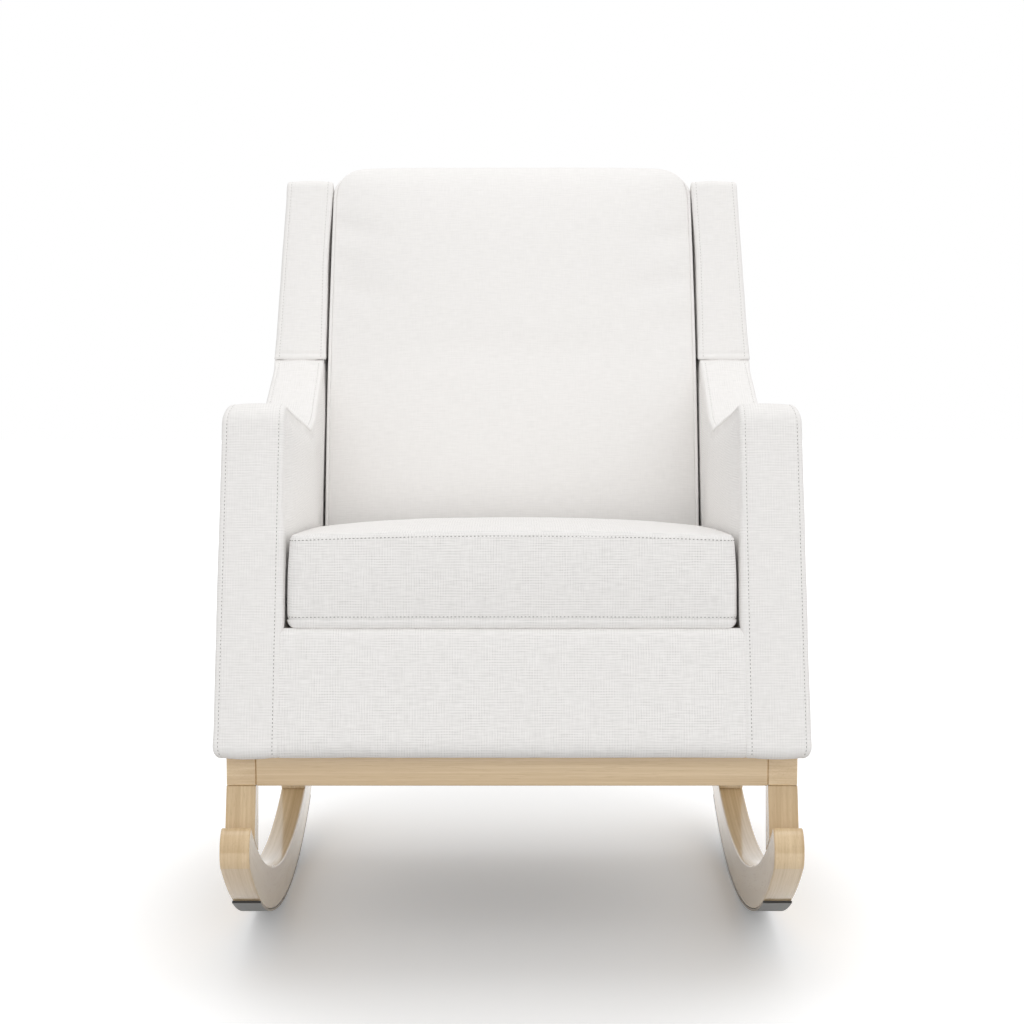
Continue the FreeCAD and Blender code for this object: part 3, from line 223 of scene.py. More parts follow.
@cache
def grain_group() -> bpy.types.NodeTree:
    """Straight wood grain along X in layers stacked along Z, with bands, fine lines and short pores.

    Returns:
        The node group.
    """
    band_share, line_share, pore_level = 0.6, 0.4, 0.63
    graph, given = node_group("Straight grain", "Shader", {"Place": "Vector"},
                              {"Tone": "Float", "Pores": "Float"})
    bands = graph.noise(given["Place"], (1.1, 9.0, 70.0), 2.0)
    lines = graph.noise(given["Place"], (3.0, 24.0, 420.0), 2.0)
    pores = graph.noise(given["Place"], (36.0, 300.0, 1500.0), 1.0)
    tone = graph.calc("MULTIPLY_ADD", bands, band_share, graph.calc("MULTIPLY", lines, line_share))
    graph.add("NodeGroupOutput", {"Tone": tone, "Pores": graph.calc("GREATER_THAN", pores, pore_level)})
    return graph.tree


def linear(colour: Colour) -> tuple[float, ...]:
    """Turn a screen colour into Blender's linear colour.

    Args:
        colour: red, green and blue as screen values from 0 to 255.
    Returns:
        Linear red, green and blue, with an alpha of 1.
    """
    levels = [value / 255.0 for value in colour]
    parts = [level / 12.92 if level <= 0.04045 else ((level + 0.055) / 1.055) ** 2.4 for level in levels]
    return (*parts, 1.0)


# Finishes

@dataclass(frozen=True)
class Finish:
    """A mottled material with a fine relief, and a slot name."""

    name: str
    slot: str
    dark: Colour
    light: Colour
    roughness: float = 0.6
    relief: float = 0.15
    relief_depth: float = 0.3 * MM
    metallic: float = 0.0
    speckle: float = 900.0

    @cache
    def material(self) -> bpy.types.Material:
        """Make the finish's material on first use.

        Returns:
            The material.
        """
        made = bpy.data.materials.new(self.name)
        graph = cleared(made)
        colour, height = self.paint(graph)
        bump = graph.add("ShaderNodeBump", {"Strength": self.relief, "Distance": self.relief_depth,
                                            "Height": height})
        shader = graph.add("ShaderNodeBsdfPrincipled",
                           {"Base Color": colour, "Normal": bump.outputs[0], "Roughness": self.roughness,
                            **self.sheen()})
        graph.add("ShaderNodeOutputMaterial", {"Surface": shader.outputs[0]})
        return made

    def tint(self, graph: Graph, tone: Socket) -> Socket:
        """The colour at a tone from dark to light."""
        return graph.blend(tone, linear(self.dark), linear(self.light))

    def paint(self, graph: Graph) -> tuple[Socket, Socket]:
        """Lay the finish's own nodes and return its colour and its height."""
        mottle = graph.noise(graph.place(), (self.speckle, self.speckle, self.speckle), 2.0)
        return self.tint(graph, mottle), mottle

    def sheen(self) -> dict[str, float]:
        """The shader's other values."""
        return {"Metallic": self.metallic}


@dataclass(frozen=True)
class Linen(Finish):
    """Woven cover fabric that reads the piece's UV map in metres."""

    dark: Colour = (208, 206, 203)
    light: Colour = (249, 247, 245)
    roughness: float = 0.92
    relief: float = 0.3
    relief_depth: float = 0.4 * MM
    yarns_per_metre: float = 640.0
    slub: float = 0.62
    grid: float = 0.25

    def paint(self, graph: Graph) -> tuple[Socket, Socket]:
        """Weave tone into the colour and weave height into the relief.

        Args:
            graph: the material's graph.
        Returns:
            The colour and the height.
        """
        place = graph.add("ShaderNodeUVMap", uv_map="UVMap").outputs[0]
        weave = graph.add("ShaderNodeGroup", node_tree=weave_group())
        graph.fill(weave, {"Place": place, "Yarns per metre": self.yarns_per_metre, "Slub": self.slub,
                           "Grid": self.grid})
        return self.tint(graph, weave.outputs["Tone"]), weave.outputs["Height"]

    def sheen(self) -> dict[str, float]:
        """The soft shine of cloth."""
        return {"Specular IOR Level": 0.2, "Sheen Weight": 0.02, "Sheen Roughness": 0.5}


@dataclass(frozen=True)
class Timber(Finish):
    """Wood with grain along one axis or along a bend, with or without a clear satin coat."""

    dark: Colour = (197, 165, 119)
    light: Colour = (226, 199, 156)
    roughness: float = 0.5
    relief: float = 0.12
    grain: Grain = Grain.ACROSS
    bent: bool = False
    coat: float = 0.0
    pore: Colour = (184, 150, 104)
    pore_strength: float = 0.3
    contrast: tuple[float, float] = (0.34, 0.66)

    def paint(self, graph: Graph) -> tuple[Socket, Socket]:
        """Grain tone into colour and relief, pores into the colour.

        Args:
            graph: the material's graph.
        Returns:
            The colour and the height.
        """
        grain = graph.add("ShaderNodeGroup", node_tree=grain_group())
        if self.bent:
            place = graph.add("ShaderNodeAttribute", attribute_name="grain").outputs["Vector"]
        else:
            place = graph.add("ShaderNodeMapping",
                              {"Vector": graph.place(), "Rotation": self.grain.value}).outputs[0]
        graph.fill(grain, {"Place": place})
        ground = self.tint(graph, graph.mapped(grain.outputs["Tone"], self.contrast))
        faint = graph.calc("MULTIPLY", grain.outputs["Pores"], self.pore_strength)
        return graph.blend(faint, ground, linear(self.pore)), grain.outputs["Tone"]

    def sheen(self) -> dict[str, float]:
        """The clear coat."""
        return {"Coat Weight": self.coat, "Coat Roughness": 0.13, "Coat IOR": 1.75}


COVER = Linen("Off-white linen cover", "cover_fabric")
ARM_COVER = Linen("Off-white linen arm cover", "cover_fabric", slub=0.42, grid=0.13, relief=0.22)
BACK_COVER = Linen("Off-white linen back cover", "cover_fabric", slub=0.28, grid=0.02, relief=0.10)
DECK = Linen("Deck lining", "deck_cloth", (200, 197, 189), (232, 229, 222))
TAPE = Linen("Zip tape", "cover_fabric", (214, 212, 206), (240, 238, 233), yarns_per_metre=1500.0)
# The thread's own grey, darkened further with painted shade that stands in for the shade in its needle holes.
THREAD = Finish("Topstitch thread", "cover_fabric", (136, 135, 131), (154, 153, 148), 0.8)
# The same thread made lighter with painted light, where light from above washes out the stitches over the arm
# tops and wings.
LIT_THREAD = Finish("Pale topstitch thread", "cover_fabric", (190, 189, 185), (206, 205, 200), 0.8)
BASE_WOODS = {grain: Timber("Base wood " + grain.name.lower().replace("_", " "), "base_wood", roughness=0.45,
                            grain=grain, coat=1.0) for grain in Grain}
BENT_WOOD = Timber("Base wood bent", "base_wood", roughness=0.45, bent=True, coat=1.0)
FRAME_WOOD = Timber("Sawn frame wood", "frame_wood", roughness=0.7)
PLYWOOD = Timber("Sanded plywood", "plywood", roughness=0.65, grain=Grain.UPRIGHT)
DOWEL_WOOD = Timber("Dowel wood", "dowel_wood", roughness=0.6, grain=Grain.UPRIGHT)
STRIP_SOLE = Finish("Grey glide felt", "glide_strip", (156, 156, 155), (174, 174, 173), 0.95)
STRIP_EDGE = Finish("Dark glide edge", "glide_strip", (58, 58, 58), (74, 74, 74), 0.8)
STRIP_SIDE = Finish("Pale glide side", "glide_strip", (186, 178, 168), (200, 192, 182), 0.9)
STEEL = Finish("Zinc-plated steel", "steel", (150, 150, 154), (176, 176, 180), 0.35, metallic=1.0)
BRASS = Finish("Insert brass", "insert_brass", (176, 142, 78), (200, 166, 100), 0.35, metallic=1.0)
DUST_CLOTH = Finish("Black dust cloth", "dust_cloth", (24, 24, 24), (40, 40, 40), 0.95, relief=0.4)
JUTE = Finish("Jute webbing", "webbing", (140, 116, 80), (172, 148, 108), 0.95, relief=0.5)
TEETH = Finish("Moulded zip teeth", "zip_teeth", (224, 224, 220), (236, 236, 232), 0.4)


# Lines and outlines

def ramp(value: Array, start: float, stop: float) -> Array:
    """A smooth step from 0 at start to 1 at stop."""
    share = np.clip((value - start) / (stop - start), 0.0, 1.0)
    return share * share * (3.0 - 2.0 * share)


def crowded(count: int) -> Array:
    """Shares from 0 to 1 that lie closer together at both ends."""
    share = np.linspace(0.0, 1.0, count)
    return share - 0.5 * np.sin(2.0 * math.pi * share) / (2.0 * math.pi)


def closed(outline: Array) -> Array:
    """An outline's points with the first one again at the end."""
    return np.vstack([outline, outline[:1]])


def run_along(line: Array) -> Array:
    """Distances along a line of points, from 0 at its first point."""
    return np.concatenate([[0.0], np.cumsum(np.linalg.norm(np.diff(line, axis=0), axis=1))])


def spread(line: Array, shares: Array) -> Array:
    """Points at given shares of the way along a line of points."""
    run = run_along(line)
    return np.stack([np.interp(shares * run[-1], run, column) for column in line.T], axis=1)


def along_loop(loop: Array) -> Array:
    """Directions along a closed loop, one for each point."""
    along = np.roll(loop, -1, axis=0) - np.roll(loop, 1, axis=0)
    return along / np.linalg.norm(along, axis=1, keepdims=True)


def outward(outline: Array) -> Array:
    """Outward directions of an anticlockwise closed outline, one for each point."""
    return along_loop(outline)[:, ::-1] * np.array([1.0, -1.0])


def nearest(outline: Array, first: float, second: float) -> int:
    """The number of the outline's point that is closest to a place."""
    return int(np.argmin(np.hypot(outline[:, 0] - first, outline[:, 1] - second)))


def corner_arms(corners: Sequence[Triple]) -> Iterator[tuple[Array, float, Array, Array]]:
    """Go round an outline's corners, with the ways to the corners before and after each.

    Args:
        corners: corners as two coordinates and a radius.
    Returns:
        For each corner its place, its radius and the two ways.
    """
    for number, (first, second, radius) in enumerate(corners):
        corner = np.array([first, second])
        after = corners[(number + 1) % len(corners)]
        yield corner, radius, np.array(corners[number - 1][:2]) - corner, np.array(after[:2]) - corner


def rounded_outline(corners: Sequence[Triple], step: float) -> Array:
    """A closed outline of straight runs and round corners.

    Args:
        corners: anticlockwise corners as two coordinates and a radius.
        step: the distance between the points that come back.
    Returns:
        Points spread evenly round the outline, from the first corner on.
    """
    points: list[Array] = []
    for corner, radius, before, after in corner_arms(corners):
        before = before / np.linalg.norm(before)
        after = after / np.linalg.norm(after)
        half = math.acos(float(np.clip(before @ after, -1.0, 1.0))) / 2.0
        middle = before + after
        centre = corner + middle / np.linalg.norm(middle) * radius / math.sin(half)
        reach = radius / math.tan(half)
        arm_in = corner + before * reach - centre
        arm_out = corner + after * reach - centre
        sweep = math.atan2(arm_in[0] * arm_out[1] - arm_in[1] * arm_out[0], float(arm_in @ arm_out))
        start = math.atan2(arm_in[1], arm_in[0])
        angles = np.linspace(start, start + sweep, max(3, int(radius * abs(sweep) / step * 3.0)))
        points.append(centre + radius * np.column_stack([np.cos(angles), np.sin(angles)]))
    line = closed(np.vstack(points))
    return spread(line, np.linspace(0.0, 1.0, int(run_along(line)[-1] / step), endpoint=False))


def corner_room(outline: Array, corners: Sequence[Triple], deepest: float, least: float = 0.85,
                slope: float = 0.6) -> Array:
    """How much of an inset fits beside an outline's tight corners.

    Args:
        outline: the outline's points.
        corners: the corners that it was made from.
        deepest: the inset that is wanted.
        least: the share of a corner's radius that always fits.
        slope: how quickly there is more room away from a corner.
    Returns:
        A share up to 1 for each point, with which insets don't cross.
    """
    room = np.full(len(outline), deepest)
    for corner, radius, before, after in corner_arms(corners):
        turn = after[0] * before[1] - after[1] * before[0]
        if turn > 0.0 and radius < deepest:
            half = math.atan2(turn, float(before @ after)) / 2.0
            reach = np.linalg.norm(outline - corner, axis=1)
            room = np.minimum(room, np.maximum(least * radius, slope * math.tan(half) * reach))
    return room / deepest


def box_sides(halves: tuple[float, float], ends: tuple[float, float], radii: tuple[float, float],
              high_bow: float = 0.0, side_draw: float = 0.0) -> tuple[Array, Array, Array, Array]:
    """The four sides of a rounded panel, meeting at the middles of its corners.

    Args:
        halves: half the width at the low side and at the high side.
        ends: where the panel begins and ends along its length.
        radii: the radius of the low corners and of the high corners.
        high_bow: how far the high side bows out.
        side_draw: how far the long sides are drawn in at their middles.
    Returns:
        The low, right, high and left sides, each from left to right or from low to high.
    """
    (low_half, high_half), (start, stop) = halves, ends
    corners = [(-low_half, start, radii[0]), (low_half, start, radii[0]), (high_half, stop, radii[1]),
               (-high_half, stop, radii[1])]
    outline = rounded_outline(corners, 1.0 * MM)
    share = np.clip((outline[:, 1] - start) / (stop - start), 0.0, 1.0)
    width = low_half + (high_half - low_half) * share
    drawn = side_draw * np.sin(math.pi * share) * (np.abs(outline[:, 0]) / width) ** 8
    outline[:, 0] -= np.sign(outline[:, 0]) * drawn
    outline[:, 1] += high_bow * share ** 8 * (1.0 - (outline[:, 0] / width) ** 2)
    marks = [nearest(outline, first, second) for first, second, _ in corners]
    runs = []
    for first, last in zip(marks, marks[1:] + marks[:1]):
        stretch = np.arange(first, last + 1 if last > first else last + 1 + len(outline))
        runs.append(outline[stretch % len(outline)])
    return runs[0], runs[1], runs[2][::-1], runs[3][::-1]


@dataclass(frozen=True)
class LocalFrame:
    """A panel's own axes: across it, along it and out of its face."""

    origin: Triple
    across: Triple
    along: Triple
    out: Triple

    def world(self, points: Any) -> Array:
        """Points given across, along and out, in the chair's axes."""
        return np.array(self.origin) + np.array(points) @ np.array([self.across, self.along, self.out])

    @classmethod
    def leaning(cls, y: float, z: float, degrees: float, facing: float = 1.0) -> "LocalFrame":
        """A frame on a face that leans back from the point (0, y, z), facing the front, or the rear at -1."""
        lean = math.radians(degrees)
        return cls((0.0, y, z), (facing, 0.0, 0.0), (0.0, math.sin(lean), math.cos(lean)),
                   (0.0, -facing * math.cos(lean), facing * math.sin(lean)))

    @classmethod
    def tilted(cls, y: float, z: float, degrees: float) -> "LocalFrame":
        """A frame on a seat that falls to the rear from the point (0, y, z)."""
        tilt = math.radians(degrees)
        return cls((0.0, y, z), (1.0, 0.0, 0.0), (0.0, math.cos(tilt), -math.sin(tilt)),
                   (0.0, math.sin(tilt), math.cos(tilt)))


# Meshes and pieces

def add_object(name: str, data: Any) -> Piece:
    """Add an object to the scene.

    Args:
        name: the object's name.
        data: its mesh, light or camera.
    Returns:
        The object.
    """
    made = bpy.data.objects.new(name, data)
    bpy.context.scene.collection.objects.link(made)
    return made


def make_piece(name: str, points: Array, patches: Sequence[tuple[Array, Array]], finish: Finish) -> Piece:
    """Make a smooth mesh object with a UV map in metres.

    Args:
        name: the object's name.
        points: vertices, one a row.
        patches: vertex numbers of faces, outwards, with the UV of each of their corners.
        finish: the finish of the whole piece.
    Returns:
        The object, linked to the scene.
    """
    mesh = bpy.data.meshes.new(name)
    mesh.from_pydata(points.tolist(), [], [face for faces, _ in patches for face in faces.tolist()])
    corners = np.concatenate([corners.reshape(-1, 2) for _, corners in patches])
    mesh.uv_layers.new(name="UVMap").data.foreach_set("uv", corners.astype(np.float32).ravel())
    mesh.shade_smooth()
    mesh.materials.append(finish.material())
    return add_object(name, mesh)


def belt(levels: Array, heights: Array, run: Array) -> tuple[Array, Array]:
    """Quads between closed rings of vertices.

    Args:
        levels: vertex numbers, one ring a row.
        heights: each vertex's place across the belt, in the same order.
        run: distances along the rings, with the whole length last.
    Returns:
        The quads, with each corner's place along and across the belt.
    """
    def at_corners(rows: Array) -> Array:
        """The rows' values at the four corners of each quad."""
        after = np.roll(rows, -1, axis=1)
        return np.stack([rows[:-1], rows[1:], after[1:], after[:-1]], axis=2).reshape(-1, 4)

    ends = np.stack([run[:-1], run[:-1], run[1:], run[1:]], axis=1)
    return at_corners(levels), np.dstack([np.tile(ends, (len(levels) - 1, 1)), at_corners(heights)])


def rows_of(values: Any, field: str) -> Array:
    """Read vectors that belong to a mesh's vertices.

    Args:
        values: the mesh's vertices or their normals.
        field: the name of the vector.
    Returns:
        The vectors, one a row.
    """
    flat = np.empty(len(values) * 3)
    values.foreach_get(field, flat)
    return flat.reshape(-1, 3)


def vertices_of(piece: Piece) -> Array:
    """A piece's vertices, one a row."""
    return rows_of(piece.data.vertices, "co")


def normals_of(piece: Piece) -> Array:
    """A piece's vertex normals, one a row."""
    return rows_of(piece.data.vertex_normals, "vector")


def move_vertices(piece: Piece, points: Array) -> None:
    """Give a piece's vertices new places."""
    piece.data.vertices.foreach_set("co", points.ravel())
    piece.data.update()


def give_vectors(mesh: bpy.types.Mesh, name: str, vectors: Array) -> None:
    """Add a vector attribute for a mesh's vertices."""
    layer = mesh.attributes.new(name, "FLOAT_VECTOR", "POINT")
    layer.data.foreach_set("vector", vectors.astype(np.float32).ravel())


def settle(piece: Piece) -> None:
    """Turn a piece with modifiers into a plain mesh.

    Args:
        piece: the piece, which gets the new mesh.
    """
    made = bpy.data.meshes.new_from_object(piece.evaluated_get(bpy.context.evaluated_depsgraph_get()))
    piece.modifiers.clear()
    old = piece.data
    piece.data = made
    bpy.data.meshes.remove(old)


def hand_wrinkles(piece: Piece, waves: Sequence[Triple]) -> None:
    """Make a cover slightly uneven, like cloth over padding.

    Args:
        piece: the cover.
        waves: depths in millimetres, lengths and seeds.
    """
    for depth, length, seed in waves:
        points = vertices_of(piece)
        moved = np.array([noise.noise(Vector(point) / length + Vector((seed, 0.0, 0.0))) for point in points])
        move_vertices(piece, points + normals_of(piece) * moved[:, None] * depth * MM)


def finish_piece(piece: Piece, body: str, finish: Finish, *nodes: str) -> None:
    """Attach a finished piece to its body and hide the CAD nodes that it stands for.

    Args:
        piece: the finished piece.
        body: the body that it rides on.
        finish: not used.
        *nodes: the CAD nodes that it stands for.
    """
    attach(piece, body)
    if nodes:
        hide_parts(*nodes)
    LOG.info("%s: %d faces on %s", piece.name, len(piece.data.polygons), body)


def grow(name: str, mesh: bpy.types.Mesh, tree: bpy.types.NodeTree, values: dict[str, Any]) -> Piece:
    """Run a Geometry Nodes tree on a mesh, and keep what it makes as a plain piece.

    Args:
        name: the piece's name.
        mesh: what the tree works on.
        tree: the node group.
        values: the group's inputs by name.
    Returns:
        The piece.
    """
    piece = add_object(name, mesh)
    nodes = piece.modifiers.new(tree.name, "NODES")
    nodes.node_group = tree
    for item in tree.interface.items_tree:
        if item.in_out == "INPUT" and item.name in values:
            nodes[item.identifier] = values[item.name]
    settle(piece)
    return piece


# Stitches and teeth

def dressed_tree(graph: Graph, last: bpy.types.Node, given: Any) -> bpy.types.NodeTree:
    """End a geometry tree by giving the last node's mesh the tree's material.

    Args:
        graph: the tree's graph.
        last: the node that gives the mesh.
        given: the tree's inputs.
    Returns:
        The finished tree.
    """
    dressed = graph.add("GeometryNodeSetMaterial",
                        {"Geometry": last.outputs[0], "Material": given["Material"]})
    graph.add("NodeGroupOutput", {0: dressed.outputs[0]})
    return graph.tree


@dataclass(frozen=True)
class SeamLine:
    """A sewn line: places along it and the way its stitches face."""

    points: Array
    facing: Array

    @classmethod
    def on(cls, piece: Piece, spots: Array) -> "SeamLine":
        """The line through given vertices of a piece."""
        return cls(vertices_of(piece)[spots], normals_of(piece)[spots])


@dataclass(frozen=True)
class Topstitch:
    """Small thread stitches, laid one after another along seam lines by Geometry Nodes."""

    finish: Finish
    pitch: float = 4.6 * MM
    size: Triple = (2.7 * MM, 1.0 * MM, 0.8 * MM)

    @staticmethod
    @cache
    def tree() -> bpy.types.NodeTree:
        """Lay out the stitching tree with named inputs.

        Returns:
            The node group.
        """
        graph, given = node_group(
            "Topstitch", "Geometry",
            {"Geometry": "Geometry", "Pitch": "Float", "Size": "Vector", "Material": "Material"},
            {"Geometry": "Geometry"})
        line = graph.add("GeometryNodeMeshToCurve", {0: given["Geometry"]})
        paced = graph.add("GeometryNodeResampleCurve", {"Curve": line.outputs[0], "Length": given["Pitch"]},
                          mode="LENGTH")
        tangent = graph.add("GeometryNodeInputTangent")
        facing = graph.add("GeometryNodeInputNamedAttribute", {"Name": "facing"}, data_type="FLOAT_VECTOR")
        turn = graph.add("FunctionNodeAxesToRotation", {0: tangent.outputs[0], 1: facing.outputs[0]},
                         primary_axis="X", secondary_axis="Z")
        bead = graph.add("GeometryNodeMeshUVSphere", {"Segments": 6, "Rings": 4, "Radius": 0.5})
        sewn = graph.add("GeometryNodeInstanceOnPoints",
                         {"Points": paced.outputs[0], "Instance": bead.outputs[0],
                          "Rotation": turn.outputs[0], "Scale": given["Size"]})
        real = graph.add("GeometryNodeRealizeInstances", {0: sewn.outputs[0]})
        smooth = graph.add("GeometryNodeSetShadeSmooth", {0: real.outputs[0]})
        return dressed_tree(graph, smooth, given)

    def sew(self, name: str, body: str, lines: Sequence[SeamLine]) -> None:
        """Lay stitches along seam lines, as one piece.

        Args:
            name: the piece's name.
            body: the body that it rides on.
            lines: the seam lines.
        """
        edges: list[tuple[int, int]] = []
        used = 0
        for line in lines:
            edges.extend((spot, spot + 1) for spot in range(used, used + len(line.points) - 1))
            used += len(line.points)
        mesh = bpy.data.meshes.new(name)
        mesh.from_pydata(np.vstack([line.points for line in lines]).tolist(), edges, [])
        give_vectors(mesh, "facing", np.vstack([line.facing for line in lines]))
        values = {"Pitch": self.pitch, "Size": self.size, "Material": self.finish.material()}
        finish_piece(grow(name, mesh, self.tree(), values), body, self.finish)


@dataclass(frozen=True)
class ZipTeeth:
    """Moulded teeth along a straight zip, set by Geometry Nodes by turns above and below its middle."""

    half_length: float
    pitch: float = 1.7 * MM
    size: Triple = (1.1 * MM, 1.9 * MM, 3.2 * MM)
    offset: float = 0.9 * MM

    def tree(self) -> bpy.types.NodeTree:
        """Lay out the zip's tree with named inputs.

        Returns:
            The node group.
        """
        graph, given = node_group(
            "Zip teeth", "Geometry",
            {"Geometry": "Geometry", "Count": "Int", "Start": "Vector", "Step": "Vector", "Offset": "Vector",
             "Size": "Vector", "Material": "Material"},
            {"Geometry": "Geometry"})
        line = graph.add("GeometryNodeMeshLine", {"Count": given["Count"], "Start Location": given["Start"],
                                                  "Offset": given["Step"]})
        index = graph.add("GeometryNodeInputIndex").outputs[0]
        turn = graph.calc("MULTIPLY_ADD", graph.calc("MODULO", index, 2.0), 2.0, -1.0)
        shift = graph.add("ShaderNodeVectorMath", {0: given["Offset"], "Scale": turn}, operation="SCALE")
        spaced = graph.add("GeometryNodeSetPosition",
                           {"Geometry": line.outputs[0], "Offset": shift.outputs[0]})
        tooth = graph.add("GeometryNodeMeshCube", {"Size": given["Size"]})
        set_in = graph.add("GeometryNodeInstanceOnPoints",
                           {"Points": spaced.outputs[0], "Instance": tooth.outputs[0]})
        real = graph.add("GeometryNodeRealizeInstances", {0: set_in.outputs[0]})
        return dressed_tree(graph, real, given)

    def build(self, name: str, middle: Array, up: Triple) -> Piece:
        """Set the teeth on both sides of the chain's middle.

        Args:
            name: the piece's name.
            middle: the middle of the chain.
            up: the way across the chain.
        Returns:
            The teeth.
        """
        count = int(2.0 * self.half_length / self.pitch)
        start = (-(count - 1) * self.pitch / 2.0, float(middle[1]), float(middle[2]))
        values = {"Count": count, "Start": start, "Step": (self.pitch, 0.0, 0.0),
                  "Offset": tuple(Vector(up) * self.offset), "Size": self.size, "Material": TEETH.material()}
        return grow(name, bpy.data.meshes.new(name), self.tree(), values)


# Padded sides

@dataclass(frozen=True)
class Flank:
    """A flat face's distance from the chair's middle, which shrinks to the rear and upwards."""

    half: float
    y: float
    z: float
    to_rear: float
    upwards: float

    def __call__(self, y: Array, z: Array) -> Array:
        """The distance at a place of the face."""
        return self.half - self.to_rear * (y - self.y) - self.upwards * (z - self.z)


@dataclass
class PaddedSlab:
    """A padded side: a panel on each face and a boxing band sewn round its edge.

    The outline lies in the Y and Z plane, and two functions give the faces' distance from the chair's
    middle. The roll over each edge is insets from the face and depths below the outline, in millimetres.
    """

    name: str
    side: Side
    outline: Array
    outer: Surface
    inner: Surface
    outer_puff: Surface
    inner_puff: Surface
    outer_scale: Array
    inner_scale: Array
    edge_swell: Any
    finish: Finish
    puff_reach: float = 0.019
    band_crown: float = 1.2 * MM
    cell: float = 0.007
    row_share: float = 0.866
    rim_room: float = 0.6
    roll: Pairs = (
        (0.0, 15.0), (0.0, 10.0), (0.05, 7.6), (0.5, 6.8), (1.5, 6.2), (0.6, 5.5), (0.45, 4.8), (0.85, 3.1),
        (1.8, 1.5), (3.3, 0.45), (5.0, 0.0), (6.2, 0.05), (6.9, 0.6), (7.6, 0.15), (10.5, -0.15))
    band_steps: Triple = (0.1, 0.225, 0.36)
    groove_column: int = 4
    outer_groove: float = 0.6
    stitch_column: int = 12

    def column(self, depth: Any, place: Surface) -> Array:
        """One column of the band at a depth below the outline, with its X as a function of Y and Z."""
        ground = self.outline - outward(self.outline) * np.reshape(depth, (-1, 1))
        return np.column_stack([place(*ground.T), ground])

    def band(self) -> Array:
        """Lay out the boxing band.

        Returns:
            The points, as columns across the band and rows along the outline.
        """
        edge = np.array(self.roll) * MM
        last, top = edge[-1]
        steps = np.array(self.band_steps)
        columns = []
        for number, (inset, depth) in enumerate(edge):
            gap = inset * self.outer_groove if number == self.groove_column else inset
            columns.append(self.column(depth * self.outer_scale, lambda y, z: self.outer(y, z) - gap))
        for share in (*steps, 0.5, *(1.0 - steps[::-1])):
            rise = top - self.band_crown * (1.0 - (2.0 * share - 1.0) ** 2)
            columns.append(self.column(rise, lambda y, z: (self.outer(y, z) - last) * (1.0 - share)
                                       + (self.inner(y, z) + last) * share))
        for inset, depth in edge[::-1]:
            gap = inset - self.edge_swell * max(0.0, 1.0 - inset / edge[self.stitch_column, 0])
            columns.append(self.column(depth * self.inner_scale, lambda y, z: self.inner(y, z) + gap))
        return np.array(columns)

    def face_net(self, rim: Array) -> tuple[Array, Array]:
        """Fill one face with even triangles.

        Args:
            rim: the face's rim in the Y and Z plane, one point a row.
        Returns:
            The points inside the rim, and triangles that count the rim's points first.
        """
        low, high = rim.min(axis=0), rim.max(axis=0)
        rows = np.arange(low[1], high[1], self.cell * self.row_share)
        grid = np.array([(y, z) for number, z in enumerate(rows)
                         for y in np.arange(low[0] + number % 2 * self.cell / 2.0, high[0], self.cell)])
        after = np.roll(rim, -1, axis=0)
        y, z = grid[:, :1], grid[:, 1:]
        spans = (rim[:, 1] > z) != (after[:, 1] > z)
        rise = np.where(rim[:, 1] == after[:, 1], 1.0, after[:, 1] - rim[:, 1])
        crossed = spans & (y < rim[:, 0] + (z - rim[:, 1]) / rise * (after[:, 0] - rim[:, 0]))
        gaps = np.linalg.norm(grid[:, None] - rim[None], axis=2).min(axis=1)
        clear = gaps > self.rim_room * self.cell
        inside = grid[(crossed.sum(axis=1) % 2 == 1) & clear]
        border = [(number, (number + 1) % len(rim)) for number in range(len(rim))]
        made = delaunay_2d_cdt([Vector(place) for place in np.vstack([rim, inside])], border, [], 1, 1e-7)
        names = np.array([origin[0] for origin in made[3]])
        return inside, names[np.array(made[2])]

    def swell(self, rim: Array, inside: Array) -> Array:
        """Find how much of a face's puff its points have.

        Args:
            rim: the face's rim in the Y and Z plane, one point a row.
            inside: points inside the rim.
        Returns:
            A share from 0 beside the rim up to 1 for each point.
        """
        steps = np.linalg.norm(np.roll(rim, -1, axis=0) - np.roll(rim, 1, axis=0), axis=1) / 2.0
        gaps = np.linalg.norm(inside[:, None] - rim[None], axis=2)
        away = np.sqrt(2.0 / (steps / gaps ** 3).sum(axis=1))
        return 1.0 - np.exp(-away / self.puff_reach)

    def build(self, waves: Sequence[Triple], node: str) -> Piece:
        """Make the slab's closed mesh, wrinkle it, attach it to the chair and hide its CAD node.

        Args:
            waves: the unevenness of the cover.
            node: the CAD node that it stands for.
        Returns:
            The finished piece.
        """
        band = self.band()
        points = band.reshape(-1, 3)
        self.levels = np.arange(len(points)).reshape(band.shape[:2])
        quads, places = belt(self.levels, band[:, :, 0], run_along(closed(self.outline)))
        patches = [(quads, places[:, :, ::-1])]
        for level, place, puff, turn in ((self.levels[0], self.outer, self.outer_puff, 1),
                                         (self.levels[-1], self.inner, self.inner_puff, -1)):
            rim = points[level, 1:]
            inside, triangles = self.face_net(rim)
            x = place(*inside.T) + puff(*inside.T) * self.swell(rim, inside)
            spots = np.concatenate([level, len(points) + np.arange(len(inside))])
            points = np.vstack([points, np.column_stack([x, inside])])
            faces = spots[triangles[:, ::turn]]
            patches.append((faces, points[faces][:, :, 1:]))
        if self.side is Side.LEFT:
            points = points * np.array([-1.0, 1.0, 1.0])
            patches = [(faces[:, ::-1], corners[:, ::-1]) for faces, corners in patches]
        piece = make_piece(self.name, points, patches, self.finish)
        hand_wrinkles(piece, waves)
        finish_piece(piece, "chair", self.finish, node)
        return piece

    def seams(self, piece: Piece, start: int, stop: int) -> list[SeamLine]:
        """Follow the stitching along both edges of the band.

        Args:
            piece: the built slab.
            start: the outline's point where the lines start.
            stop: the point where they end.
        Returns:
            The two seam lines.
        """
        rows = np.arange(start, stop) % len(self.outline)
        return [SeamLine.on(piece, self.levels[column][rows])
                for column in (self.stitch_column, -1 - self.stitch_column)]


